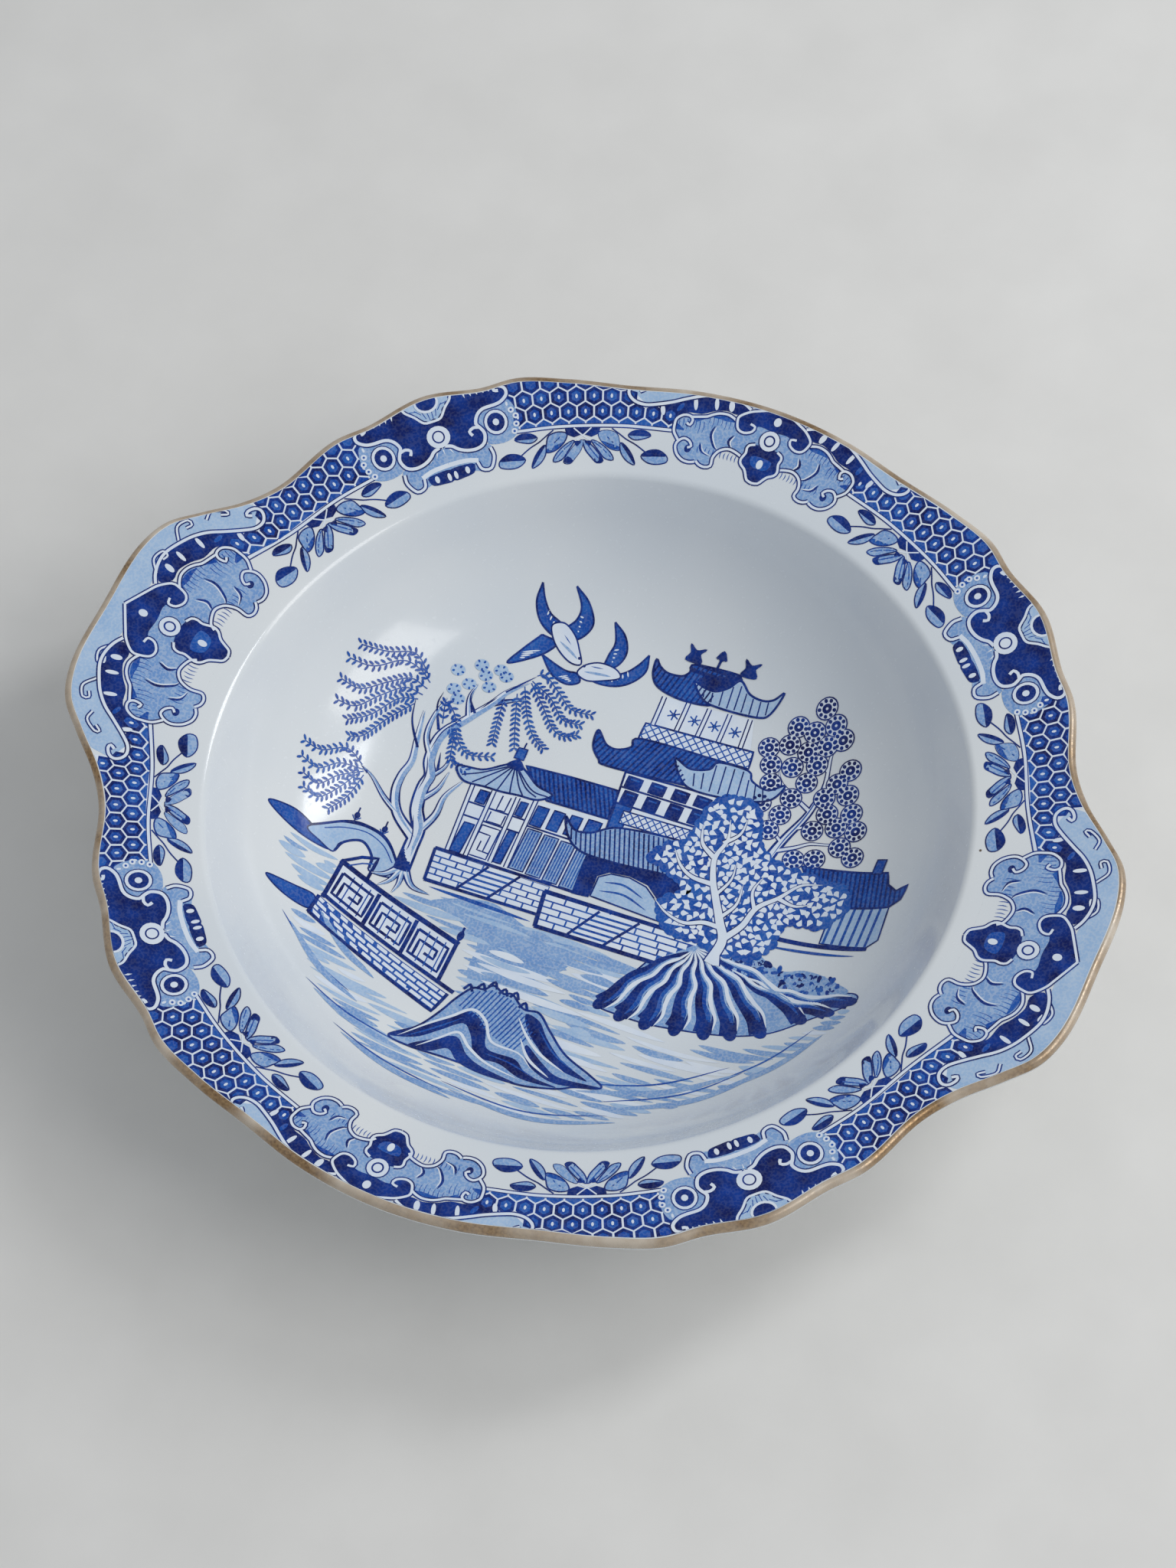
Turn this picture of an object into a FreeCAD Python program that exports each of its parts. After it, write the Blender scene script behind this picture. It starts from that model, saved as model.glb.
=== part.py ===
import FreeCAD, Part
import math
import os
from FreeCAD import Vector

# Two-handled serving bowl of glazed porcelain, millimetres, +Z up.
# The origin is the middle of the ring that it stands on.
# +X runs through the middle of one tab handle, and the sides face +Y and -Y.

# heights and thicknesses
overall_height = 52.0
inside_depth = 41.0
wall_thickness = 4.4
flange_thickness = 3.8

# round well: a flat floor, one large arc, a straight wall and a rolled shoulder
well_radius = 96.0
wall_slope = 60.0
floor_arc_radius = 50.0
shoulder_radius = 3.2
under_shoulder_radius = 6.0

# flange: a shallow cone from the shoulder to the scalloped edge
shoulder_drop = 6.6
flange_root_from_shoulder = 6.0
side_radius = 121.8
tab_reach = 13.2
lip_round = 1.5

# tab handles: the part of the rim that lies beyond a straight root line
tab_root_inset = 7.8

# foot ring
foot_radius = 58.0
foot_land = 2.4
foot_width_top = 7.5
foot_flare = 2.0
foot_round = 0.9

# print and gilding, both thin films on the glaze
print_thickness = 0.15
center_print_from_shoulder = 16.0
print_clear_of_gilt = 0.1
border_from_shoulder = 3.6
border_strips = 4
border_first_join = 24.0
gilt_thickness = 0.15
gilt_width = 1.0

# scalloped edge of one quarter: the angle from the tab's middle, and how far the
# edge stands outside the side's radius, either in millimetres or as a share of the tab's reach
tab_keys = [(0.0, 0.99), (9.0, 1.03), (12.3, 0.91), (15.5, 0.59), (20.0, 0.17)]
scallop_keys = [
    (25.0, -0.4),
    (34.0, 1.9),
    (38.5, 1.4),
    (46.0, 3.4),
    (53.0, 1.6),
    (57.5, 2.5),
    (63.5, 0.9),
    (71.5, -1.0),
    (80.0, -0.4),
    (90.0, 0.0),
]

floor_z = overall_height - inside_depth
foot_height = floor_z - wall_thickness
shoulder_z = overall_height - shoulder_drop
flange_root_radius = well_radius + flange_root_from_shoulder
border_inner_radius = well_radius + border_from_shoulder
center_print_radius = well_radius - center_print_from_shoulder
tab_root_x = side_radius - tab_root_inset
flange_slope = math.degrees(math.atan2(shoulder_drop, side_radius - well_radius))
beyond = side_radius + tab_reach + 20.0


def direction(degrees):
    return Vector(math.cos(math.radians(degrees)), 0, math.sin(math.radians(degrees)))


def meet(a, a_degrees, b, b_degrees):
    """Where the line through a meets the line through b, in the XZ plane."""
    d, e = direction(a_degrees), direction(b_degrees)
    along = ((b.x - a.x) * e.z - (b.z - a.z) * e.x) / (d.x * e.z - d.z * e.x)
    return a + d * along


def at_radius(point, degrees, radius):
    return point + direction(degrees) * ((radius - point.x) / direction(degrees).x)


def rounded_path(corners):
    """Edges through (point, radius) corners, with a tangent arc at each inner one."""
    edges = []
    start = corners[0][0]
    for index in range(1, len(corners) - 1):
        point, radius = corners[index]
        back = (corners[index - 1][0] - point).normalize()
        ahead = (corners[index + 1][0] - point).normalize()
        turn = math.pi - back.getAngle(ahead)
        if radius <= 0 or turn < 1e-6:
            edges.append(Part.makeLine(start, point))
            start = point
            continue
        reach = radius * math.tan(turn / 2)
        first, last = point + back * reach, point + ahead * reach
        middle = (back + ahead).normalize()
        crown = point + middle * (radius / math.cos(turn / 2) - radius)
        if (first - start).Length > 1e-6:
            edges.append(Part.makeLine(start, first))
        edges.append(Part.Arc(first, crown, last).toShape())
        start = last
    edges.append(Part.makeLine(start, corners[-1][0]))
    return edges


def revolve(corners, degrees=360.0, first=0.0):
    """Solid of revolution about Z of the closed section that the corners give."""
    face = Part.Face(Part.Wire(rounded_path(corners + [corners[0]])))
    solid = face.revolve(Vector(0, 0, 0), Vector(0, 0, 1), degrees)
    solid.rotate(Vector(0, 0, 0), Vector(0, 0, 1), first)
    return Part.Solid(solid.Shells[0]) if solid.ShapeType != "Solid" else solid


def at_angle(radius, degrees):
    turn = math.radians(degrees)
    return Vector(radius * math.cos(turn), radius * math.sin(turn), 0)


def quarter_points(grow):
    """Points of a quarter of the edge, from the middle of a tab to the middle of a side."""
    keys = [(angle, side_radius + share * tab_reach) for angle, share in tab_keys]
    keys += [(angle, side_radius + out) for angle, out in scallop_keys]
    return [at_angle(radius + grow, angle) for angle, radius in keys]


def lip_wire():
    """The clay's scalloped edge as one closed curve, so that its lip can be rounded."""
    quarter = quarter_points(0.0)
    half = quarter + [Vector(-p.x, p.y, 0) for p in quarter[-2::-1]]
    full = half + [Vector(p.x, -p.y, 0) for p in half[-2:0:-1]]
    curve = Part.BSplineCurve()
    curve.interpolate(Points=full, PeriodicFlag=True)
    return Part.Wire(curve.toShape())


def film_wire(grow):
    """The edge grown outwards, for the films: one quarter's curve and its mirror images."""
    curve = Part.BSplineCurve()
    curve.interpolate(
        Points=quarter_points(grow),
        InitialTangent=Vector(0, 1, 0),
        FinalTangent=Vector(-1, 0, 0),
    )
    quarter = curve.toShape()
    half = [quarter, quarter.mirror(Vector(0, 0, 0), Vector(1, 0, 0))]
    other_half = [edge.mirror(Vector(0, 0, 0), Vector(0, 1, 0)) for edge in half]
    return Part.Wire(Part.__sortEdges__(half + other_half))


def prism(wire):
    solid = Part.Face(wire).extrude(Vector(0, 0, 3 * overall_height))
    solid.translate(Vector(0, 0, -overall_height))
    return solid


def film_section(thickness, inner_radius, outer_radius):
    """Section of a film on the flange's upper face."""
    high = flange_top + direction(flange_slope + 90) * thickness
    return [
        (at_radius(flange_top, flange_slope, inner_radius), 0),
        (at_radius(flange_top, flange_slope, outer_radius), 0),
        (at_radius(high, flange_slope, outer_radius), 0),
        (at_radius(high, flange_slope, inner_radius), 0),
    ]


flange_top = Vector(well_radius, 0, shoulder_z)
flange_under = flange_top + direction(flange_slope - 90) * flange_thickness
wall_under = flange_top + direction(wall_slope - 90) * wall_thickness
floor_corner = meet(Vector(0, 0, floor_z), 0, flange_top, wall_slope)
floor_corner_under = meet(Vector(0, 0, floor_z - wall_thickness), 0, wall_under, wall_slope)
shoulder_under = meet(wall_under, wall_slope, flange_under, flange_slope)


def make_well_body():
    """Floor, wall and rolled shoulder, as far as the flange's root."""
    return revolve([
        (Vector(0, 0, floor_z), 0),
        (floor_corner, floor_arc_radius),
        (flange_top, shoulder_radius),
        (at_radius(flange_top, flange_slope, flange_root_radius), 0),
        (at_radius(flange_under, flange_slope, flange_root_radius), 0),
        (shoulder_under, under_shoulder_radius),
        (floor_corner_under, floor_arc_radius + wall_thickness),
        (Vector(0, 0, floor_z - wall_thickness), 0),
    ])


def make_foot_ring(well_body):
    """Ring that the bowl stands on, flared to the underside that it is luted to."""
    inner = foot_radius - foot_land / 2 - foot_round
    outer = foot_radius + foot_land / 2 + foot_round
    top_outer = outer + foot_flare
    top_inner = top_outer - foot_width_top
    ring = revolve([
        (Vector(foot_radius, 0, 0), 0),
        (Vector(outer, 0, 0), foot_round),
        (Vector(top_outer, 0, foot_height), 0),
        (Vector(top_outer, 0, shoulder_z), 0),
        (Vector(top_inner, 0, shoulder_z), 0),
        (Vector(top_inner, 0, foot_height), 0),
        (Vector(inner, 0, 0), foot_round),
    ])
    below_and_inside = ring.cut(well_body).Solids
    return min(below_and_inside, key=lambda solid: solid.BoundBox.ZMin)


def make_rim():
    """The whole flange with its tabs, cut to the scalloped edge, with a rounded lip."""
    cone = revolve([
        (at_radius(flange_top, flange_slope, flange_root_radius), 0),
        (at_radius(flange_top, flange_slope, beyond), 0),
        (at_radius(flange_under, flange_slope, beyond), 0),
        (at_radius(flange_under, flange_slope, flange_root_radius), 0),
    ])
    rim = cone.common(prism(lip_wire()))
    return rim.makeFillet(lip_round, [edge for edge in rim.Edges if follows_lip(edge)])


def follows_lip(edge):
    """True for the long edges that run round the outside, above and below."""
    reach = [math.hypot(point.x, point.y) for point in edge.discretize(12)]
    return edge.Length > 2 * side_radius and min(reach) > flange_root_radius + lip_round


def half_space(side):
    """Everything beyond the root line of the tab on the given side."""
    block = Part.makeBox(beyond, 2 * beyond, 3 * overall_height)
    block.translate(Vector(tab_root_x, -beyond, -overall_height))
    if side < 0:
        block.rotate(Vector(0, 0, 0), Vector(0, 0, 1), 180)
    return block


def make_center_print():
    """Round film that carries the printed scene, on the floor and the foot of the wall."""
    inside = revolve([
        (Vector(0, 0, floor_z), 0),
        (floor_corner, floor_arc_radius),
        (flange_top, shoulder_radius),
        (at_radius(flange_top, flange_slope, flange_root_radius), 0),
        (Vector(flange_root_radius, 0, 2 * overall_height), 0),
        (Vector(0, 0, 2 * overall_height), 0),
    ])
    normal = direction(wall_slope + 90)
    lifted = flange_top + normal * print_thickness
    lifted_floor = Vector(0, 0, floor_z + print_thickness)
    clear = revolve([
        (lifted_floor, 0),
        (meet(lifted_floor, 0, lifted, wall_slope), floor_arc_radius - print_thickness),
        (lifted + direction(wall_slope) * 2 * overall_height, 0),
        (Vector(0, 0, lifted.z + 2 * overall_height), 0),
    ])
    disc = Part.makeCylinder(center_print_radius, 2 * overall_height)
    return inside.common(disc).cut(clear)


def make_border_print(index):
    """One strip of the printed border, a quarter of the way round, butted to the next."""
    sweep = 360.0 / border_strips
    strip = revolve(
        film_section(print_thickness, border_inner_radius, beyond),
        sweep,
        border_first_join + sweep * index,
    )
    return strip.common(prism(film_wire(-lip_round - gilt_width - print_clear_of_gilt)))


def make_gilt_edge():
    """Line of gilding on the flange's upper face, where the rounded lip begins."""
    ring = revolve(film_section(gilt_thickness, flange_root_radius, beyond))
    line = ring.common(prism(film_wire(-lip_round)))
    return line.cut(prism(film_wire(-lip_round - gilt_width)))


def export(name, shape):
    solids = shape.Solids
    if len(solids) == 1:
        shape = solids[0]
    if not shape.isValid():
        raise ValueError(name + " is not a valid solid")
    shape.exportStep("parts/" + name + ".step")
    print(name, "solids", len(solids), "volume", round(shape.Volume, 1))


def main():
    os.makedirs("parts", exist_ok=True)
    well_body = make_well_body()
    rim = make_rim()
    tabs = {"right": half_space(1), "left": half_space(-1)}
    export("well_body", well_body)
    export("foot_ring", make_foot_ring(well_body))
    export("rim_flange", rim.cut(tabs["right"]).cut(tabs["left"]))
    for side, block in tabs.items():
        export("tab_handle_" + side, rim.common(block))
    export("center_print", make_center_print())
    for index in range(border_strips):
        export("border_print_" + str(index + 1), make_border_print(index))
    export("gilt_edge", make_gilt_edge())


main()
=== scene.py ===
import math
import random
import bmesh
import bpy
import numpy as np
from mathutils import Matrix, Quaternion, Vector
from mathutils.geometry import delaunay_2d_cdt


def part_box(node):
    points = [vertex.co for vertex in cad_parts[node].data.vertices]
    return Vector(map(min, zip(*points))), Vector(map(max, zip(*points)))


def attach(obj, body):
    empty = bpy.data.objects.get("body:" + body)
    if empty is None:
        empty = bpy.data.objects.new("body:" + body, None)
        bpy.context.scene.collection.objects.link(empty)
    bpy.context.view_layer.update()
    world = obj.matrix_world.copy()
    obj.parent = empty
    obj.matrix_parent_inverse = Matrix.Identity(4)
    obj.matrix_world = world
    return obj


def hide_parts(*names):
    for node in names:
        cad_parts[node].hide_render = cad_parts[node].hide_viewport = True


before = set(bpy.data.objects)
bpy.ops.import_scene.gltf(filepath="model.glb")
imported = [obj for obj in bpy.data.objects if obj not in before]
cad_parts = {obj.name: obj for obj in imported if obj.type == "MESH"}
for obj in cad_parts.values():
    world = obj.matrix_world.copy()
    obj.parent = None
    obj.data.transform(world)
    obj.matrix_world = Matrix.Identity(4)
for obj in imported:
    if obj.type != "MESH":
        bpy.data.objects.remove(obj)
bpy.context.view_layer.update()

# Two-handled serving bowl: glazed white body, blue printed border and scene, worn gilt edge.
# The drawings are in millimetres on plan, x towards the right-hand tab and y towards the far side.
mm = 0.001
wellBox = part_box("well_body")
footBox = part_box("foot_ring")
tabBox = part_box("tab_handle_right")
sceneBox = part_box("center_print")

bowl = {
    "floorHeight": sceneBox[0].z / mm,
    "underHeight": wellBox[0].z / mm,
    "rootRadius": wellBox[1].x / mm,       # where the flange starts
    "tabRoot": tabBox[0].x / mm,           # the straight root line of a tab
    "wellRadius": 96.0,
    "sideRadius": 121.8,
    "tabReach": 13.2,
    "flangeDrop": 6.6,                     # fall of the flange from the side's edge to the shoulder
    "wallSlope": 60.0,
    "floorArc": 50.0,
    "shoulderArc": 3.2,
    "underShoulderArc": 6.0,
    "wall": 4.4,
    "flange": 3.8,
    "lipRound": 1.5,
    "turns": 240,                          # steps round the pot
    "core": 0.05,                          # radius of the circle that a section is swept along
    "topRows": 12,                         # points across the flange, above and below
    "lowRows": 8,
    "tabRows": 40,                         # stations each side of a tab's middle
    "edgeStep": 0.75,                      # degrees between the flange's other stations
}
slopeTop = math.atan2(bowl["flangeDrop"], bowl["sideRadius"] - bowl["wellRadius"])
rise = math.tan(slopeTop)
shoulderHeight = wellBox[1].z / mm - (bowl["rootRadius"] - bowl["wellRadius"]) * rise

# the scalloped edge: angle from a tab's middle, and millimetres outside the side's radius
tabEdge = [(0, 0.99), (9, 1.03), (12.3, 0.91), (15.5, 0.59), (20, 0.17)]
sideEdge = [(25, -0.4), (34, 1.9), (38.5, 1.4), (46, 3.4), (53, 1.6), (57.5, 2.5), (63.5, 0.9),
    (71.5, -1.0), (80, -0.4), (90, 0)]
edgeKeys = [(angle, share * bowl["tabReach"]) for angle, share in tabEdge] + sideEdge


def edgeRadius(angle):
    # one quarter's curve, mirrored to the other three, with smooth tangents at the keys
    turn = abs((angle + 180) % 360 - 180)
    turn = 180 - turn if turn > 90 else turn
    keys = [(-a, out) for a, out in edgeKeys[2:0:-1]] + edgeKeys
    keys += [(180 - a, out) for a, out in edgeKeys[-2:-4:-1]]
    for i in range(1, len(keys) - 2):
        (a0, v0), (a1, v1), (a2, v2), (a3, v3) = keys[i - 1:i + 3]
        if a1 <= turn <= a2:
            step = a2 - a1
            t = (turn - a1) / step
            m1 = ((v2 - v1) / step + (v1 - v0) / (a1 - a0)) / 2 * step
            m2 = ((v3 - v2) / (a3 - a2) + (v2 - v1) / step) / 2 * step
            tt, ttt = t * t, t * t * t
            value = (2 * ttt - 3 * tt + 1) * v1 + (ttt - 2 * tt + t) * m1
            value += (3 * tt - 2 * ttt) * v2 + (ttt - tt) * m2
            return bowl["sideRadius"] + value
    return bowl["sideRadius"]


def ray(degrees):
    return Vector((math.cos(math.radians(degrees)), math.sin(math.radians(degrees))))


def crossing(a, aDegrees, b, bDegrees):
    d, e = ray(aDegrees), ray(bDegrees)
    return a + d * (((b.x - a.x) * e.y - (b.y - a.y) * e.x) / (d.x * e.y - d.y * e.x))


def roundedSection(corners, step=2.0, arcStep=7.0):
    # points along a section of (corner, radius) pairs, with an arc at each rounded corner
    points = [corners[0][0]]
    for i in range(1, len(corners)):
        corner, radius = corners[i]
        target = corner
        arc = []
        if radius > 0 and i < len(corners) - 1:
            back = (corners[i - 1][0] - corner).normalized()
            ahead = (corners[i + 1][0] - corner).normalized()
            turn = math.pi - back.angle(ahead)
            reach = radius * math.tan(turn / 2)
            middle = corner + (back + ahead).normalized() * radius / math.cos(turn / 2)
            target = corner + back * reach
            spoke = target - middle
            side = 1 if back.x * ahead.y - back.y * ahead.x < 0 else -1
            count = max(3, math.ceil(math.degrees(turn) / arcStep), math.ceil(radius * turn / step))
            for k in range(1, count + 1):
                around = Matrix.Rotation(side * turn * k / count, 2)
                arc.append(middle + around @ spoke)
        run = target - points[-1]
        pieces = max(1, math.ceil(run.length / (step * 2)))
        points += [points[-1] + run * k / pieces for k in range(1, pieces + 1)]
        points += arc
    return points


slopeDegrees = math.degrees(slopeTop)
shoulder = Vector((bowl["wellRadius"], shoulderHeight))
flangeUnder = shoulder + ray(slopeDegrees - 90) * bowl["flange"]
wallUnder = shoulder + ray(bowl["wallSlope"] - 90) * bowl["wall"]
floorPoint = Vector((0, bowl["floorHeight"]))
underPoint = Vector((0, bowl["underHeight"]))
floorCorner = crossing(floorPoint, 0, shoulder, bowl["wallSlope"])
underCorner = crossing(underPoint, 0, wallUnder, bowl["wallSlope"])
underShoulder = crossing(wallUnder, bowl["wallSlope"], flangeUnder, slopeDegrees)


def topHeight(radius):
    return shoulderHeight + (radius - bowl["wellRadius"]) * rise


def underFlange(radius):
    return flangeUnder.y + (radius - flangeUnder.x) * rise


wallRadians = math.radians(bowl["wallSlope"])
floorFlat = floorCorner.x - bowl["floorArc"] * math.tan(wallRadians / 2)
floorArcEnd = floorFlat + bowl["floorArc"] * math.sin(wallRadians)
shoulderReach = bowl["shoulderArc"] * math.tan((wallRadians - slopeTop) / 2)
shoulderStart = shoulder - ray(bowl["wallSlope"]) * shoulderReach
shoulderMiddle = shoulderStart - ray(bowl["wallSlope"] + 90) * bowl["shoulderArc"]
shoulderEnd = shoulder.x + math.cos(slopeTop) * shoulderReach


def glazeAt(radius):
    # height and slope of the upper glaze at a radius
    if radius <= floorFlat:
        return bowl["floorHeight"], 0.0
    if radius <= floorArcEnd:
        slope = math.asin((radius - floorFlat) / bowl["floorArc"])
        return bowl["floorHeight"] + bowl["floorArc"] * (1 - math.cos(slope)), slope
    if radius <= shoulderStart.x:
        return shoulder.y - (shoulder.x - radius) * math.tan(wallRadians), wallRadians
    if radius <= shoulderEnd:
        slope = math.asin(max(-1, min(1, (shoulderMiddle.x - radius) / bowl["shoulderArc"])))
        return shoulderMiddle.y + bowl["shoulderArc"] * math.cos(slope), slope
    return topHeight(radius), slopeTop


def drape(x, y, lift):
    # a point of a drawing, laid on the glaze, and the glaze's normal there
    radius = math.hypot(x, y)
    height, slope = glazeAt(radius)
    cx, cy = (x / radius, y / radius) if radius > 1e-6 else (1.0, 0.0)
    normal = (-math.sin(slope) * cx, -math.sin(slope) * cy, math.cos(slope))
    at = (x + normal[0] * lift, y + normal[1] * lift, height + normal[2] * lift)
    return [value * mm for value in at], normal


print("stage: shader groups and materials")


def srgb(red, green, blue):
    values = [value / 255 for value in (red, green, blue)]
    return tuple(v / 12.92 if v <= 0.04045 else ((v + 0.055) / 1.055) ** 2.4 for v in values) + (1,)


def newGroup(name, inputs, outputs):
    group = bpy.data.node_groups.new(name, "ShaderNodeTree")
    for label, kind, value in inputs:
        socket = group.interface.new_socket(label, in_out="INPUT", socket_type="NodeSocket" + kind)
        if value is not None:
            socket.default_value = value
    for label, kind in outputs:
        group.interface.new_socket(label, in_out="OUTPUT", socket_type="NodeSocket" + kind)
    return group, group.nodes.new("NodeGroupInput"), group.nodes.new("NodeGroupOutput")


def addNode(tree, kind, values=(), family="ShaderNode", **settings):
    node = tree.nodes.new(family + kind)
    for key, value in settings.items():
        setattr(node, key, value)
    for key, value in dict(values).items():
        if isinstance(value, bpy.types.NodeSocket):
            tree.links.new(value, node.inputs[key])
        else:
            node.inputs[key].default_value = value
    return node


def combine(tree, operation, first, second):
    return addNode(tree, "Math", {0: first, 1: second}, operation=operation).outputs[0]


def noiseOn(tree, vector, scale, detail=3.0):
    return addNode(tree, "TexNoise", {"Vector": vector, "Scale": scale, "Detail": detail}).outputs["Fac"]


def spread(tree, value, low, high, toLow=0.0, toHigh=1.0):
    limits = {"Value": value, "From Min": low, "From Max": high, "To Min": toLow, "To Max": toHigh}
    return addNode(tree, "MapRange", limits).outputs["Result"]


def blendColor(tree, factor, first, second):
    node = addNode(tree, "Mix", data_type="RGBA")
    for index, value in ((0, factor), (6, first), (7, second)):
        if isinstance(value, bpy.types.NodeSocket):
            tree.links.new(value, node.inputs[index])
        else:
            node.inputs[index].default_value = value
    return node.outputs[2]


def makeGlazeFinish():
    # gloss of a fired glaze: slow waves and fine rubbing marks from use
    group, start, end = newGroup("glazeFinish", [("Vector", "Vector", None), ("Roughness", "Float", 0.1),
        ("Rubbing", "Float", 0.1), ("Waves", "Float", 0.2)], [("Roughness", "Float"), ("Normal", "Vector")])
    vector = start.outputs["Vector"]
    cloudy = noiseOn(group, vector, 38.0)
    marks = spread(group, noiseOn(group, vector, 900.0, 6.0), 0.58, 0.72)
    rubbed = combine(group, "MULTIPLY", marks, start.outputs["Rubbing"])
    rough = combine(group, "ADD", spread(group, cloudy, 0.3, 0.7, 0.0, 0.05), start.outputs["Roughness"])
    waves = noiseOn(group, vector, 62.0, 1.0)
    bump = addNode(group, "Bump", {"Height": waves, "Strength": start.outputs["Waves"], "Distance": 0.0004})
    group.links.new(combine(group, "ADD", rough, rubbed), end.inputs["Roughness"])
    group.links.new(bump.outputs["Normal"], end.inputs["Normal"])
    return group


def makeInkTone():
    # cobalt under the glaze: uneven take of the print and engraved stipple
    group, start, end = newGroup("inkTone", [("Vector", "Vector", None), ("Deep", "Color", (0, 0, 0.1, 1)),
        ("Thin", "Color", (0.1, 0.2, 0.6, 1)), ("Ground", "Color", (0.7, 0.75, 0.8, 1)),
        ("Stipple", "Float", 0.2), ("Thinning", "Float", 0.3)], [("Color", "Color")])
    vector = start.outputs["Vector"]
    patch = spread(group, noiseOn(group, vector, 170.0, 4.0), 0.32, 0.7)
    thin = combine(group, "MULTIPLY", patch, start.outputs["Thinning"])
    body = blendColor(group, thin, start.outputs["Deep"], start.outputs["Thin"])
    cells = addNode(group, "TexVoronoi", {"Vector": vector, "Scale": 1500.0})
    dots = spread(group, cells.outputs["Distance"], 0.5, 0.62)
    gaps = combine(group, "MULTIPLY", dots, start.outputs["Stipple"])
    color = blendColor(group, gaps, body, start.outputs["Ground"])
    group.links.new(color, end.inputs["Color"])
    return group


glazeFinish = makeGlazeFinish()
inkTone = makeInkTone()


def startMaterial(name, **fixed):
    material = bpy.data.materials.new(name)
    material.use_nodes = True
    tree = material.node_tree
    shader = tree.nodes["Principled BSDF"]
    for key, value in fixed.items():
        shader.inputs[key.replace("_", " ")].default_value = value
    place = addNode(tree, "TexCoord").outputs["Object"]
    return material, tree, shader, addNode(tree, "Mapping", {"Vector": place}).outputs["Vector"]


def addFinish(tree, shader, vector, waves):
    finish = addNode(tree, "Group", {"Vector": vector, "Roughness": glazeLook["roughness"],
        "Rubbing": glazeLook["rubbing"], "Waves": waves}, node_tree=glazeFinish)
    tree.links.new(finish.outputs["Roughness"], shader.inputs["Roughness"])
    tree.links.new(finish.outputs["Normal"], shader.inputs["Normal"])


glazeLook = {
    "white": srgb(224, 227, 228),
    "cool": srgb(212, 218, 223),
    "speck": srgb(96, 78, 60),
    "bareClay": srgb(205, 196, 180),
    "grit": srgb(176, 164, 146),
    "bareHeight": 0.0003,                  # up the foot, in metres, and how ragged its edge is
    "ragged": 0.0006,
    "roughness": 0.13,
    "rubbing": 0.22,
    "waves": 0.35,
    "footWaves": 0.2,
    "refraction": 1.52,
    "coat": 0.12,
    "inkGloss": 0.2,                       # the print takes off some of the glaze's shine
}


def makeGlaze(name, withFoot=False):
    material, tree, shader, vector = startMaterial(name, IOR=glazeLook["refraction"],
        Coat_Weight=glazeLook["coat"], Coat_Roughness=0.03)
    tint = spread(tree, noiseOn(tree, vector, 14.0, 2.0), 0.35, 0.65)
    color = blendColor(tree, tint, glazeLook["white"], glazeLook["cool"])
    dots = addNode(tree, "TexVoronoi", {"Vector": vector, "Scale": 62.0})
    small = spread(tree, dots.outputs["Distance"], 0.018, 0.03, 1.0, 0.0)
    rare = addNode(tree, "SeparateColor", {"Color": dots.outputs["Color"]}).outputs["Red"]
    kept = spread(tree, rare, 0.9, 0.91)
    speck = combine(tree, "MULTIPLY", small, kept)
    color = blendColor(tree, speck, color, glazeLook["speck"])
    addFinish(tree, shader, vector, glazeLook["footWaves"] if withFoot else glazeLook["waves"])
    if withFoot:
        height = addNode(tree, "SeparateXYZ", {"Vector": vector}).outputs["Z"]
        ragged = combine(tree, "MULTIPLY", noiseOn(tree, vector, 500.0), glazeLook["ragged"])
        level = combine(tree, "SUBTRACT", height, ragged)
        bare = spread(tree, level, glazeLook["bareHeight"] - 0.0001, glazeLook["bareHeight"] + 0.0001, 1.0,
            0.0)
        grit = spread(tree, noiseOn(tree, vector, 1800.0, 5.0), 0.4, 0.7)
        color = blendColor(tree, bare, color, blendColor(tree, grit, glazeLook["bareClay"],
            glazeLook["grit"]))
        rough = shader.inputs["Roughness"].links[0].from_socket
        dull = combine(tree, "MULTIPLY", bare, 0.6)
        tree.links.new(combine(tree, "MAXIMUM", rough, dull), shader.inputs["Roughness"])
        gloss = spread(tree, bare, 0.0, 1.0, glazeLook["coat"], 0.0)
        tree.links.new(gloss, shader.inputs["Coat Weight"])
    tree.links.new(color, shader.inputs["Base Color"])
    return material


def makeInk(name, deep, thin, stipple, thinning):
    material, tree, shader, vector = startMaterial(name, IOR=glazeLook["refraction"],
        Specular_IOR_Level=glazeLook["inkGloss"])
    tone = addNode(tree, "Group", {"Vector": vector, "Deep": deep, "Thin": thin,
        "Ground": glazeLook["cool"], "Stipple": stipple, "Thinning": thinning}, node_tree=inkTone)
    tree.links.new(tone.outputs["Color"], shader.inputs["Base Color"])
    addFinish(tree, shader, vector, glazeLook["waves"])
    return material


giltLook = {
    "gold": srgb(168, 138, 100),
    "darkGold": srgb(116, 90, 66),
    "worn": srgb(196, 184, 168),
    "metallic": 0.6,
    "roughness": (0.22, 0.42),
}


def makeGilt(name):
    material, tree, shader, vector = startMaterial(name, IOR=1.5)
    wear = noiseOn(tree, vector, 60.0, 9.0)
    worn = spread(tree, wear, 0.36, 0.66)
    fine = spread(tree, noiseOn(tree, vector, 1400.0, 4.0), 0.35, 0.7)
    gold = blendColor(tree, fine, giltLook["gold"], giltLook["darkGold"])
    tree.links.new(blendColor(tree, worn, gold, giltLook["worn"]), shader.inputs["Base Color"])
    tree.links.new(spread(tree, worn, 0.0, 1.0, giltLook["metallic"], 0.0), shader.inputs["Metallic"])
    tree.links.new(spread(tree, fine, 0.0, 1.0, *giltLook["roughness"]), shader.inputs["Roughness"])
    bump = addNode(tree, "Bump", {"Height": wear, "Strength": 0.3, "Distance": 0.0003})
    tree.links.new(bump.outputs["Normal"], shader.inputs["Normal"])
    return material


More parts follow.
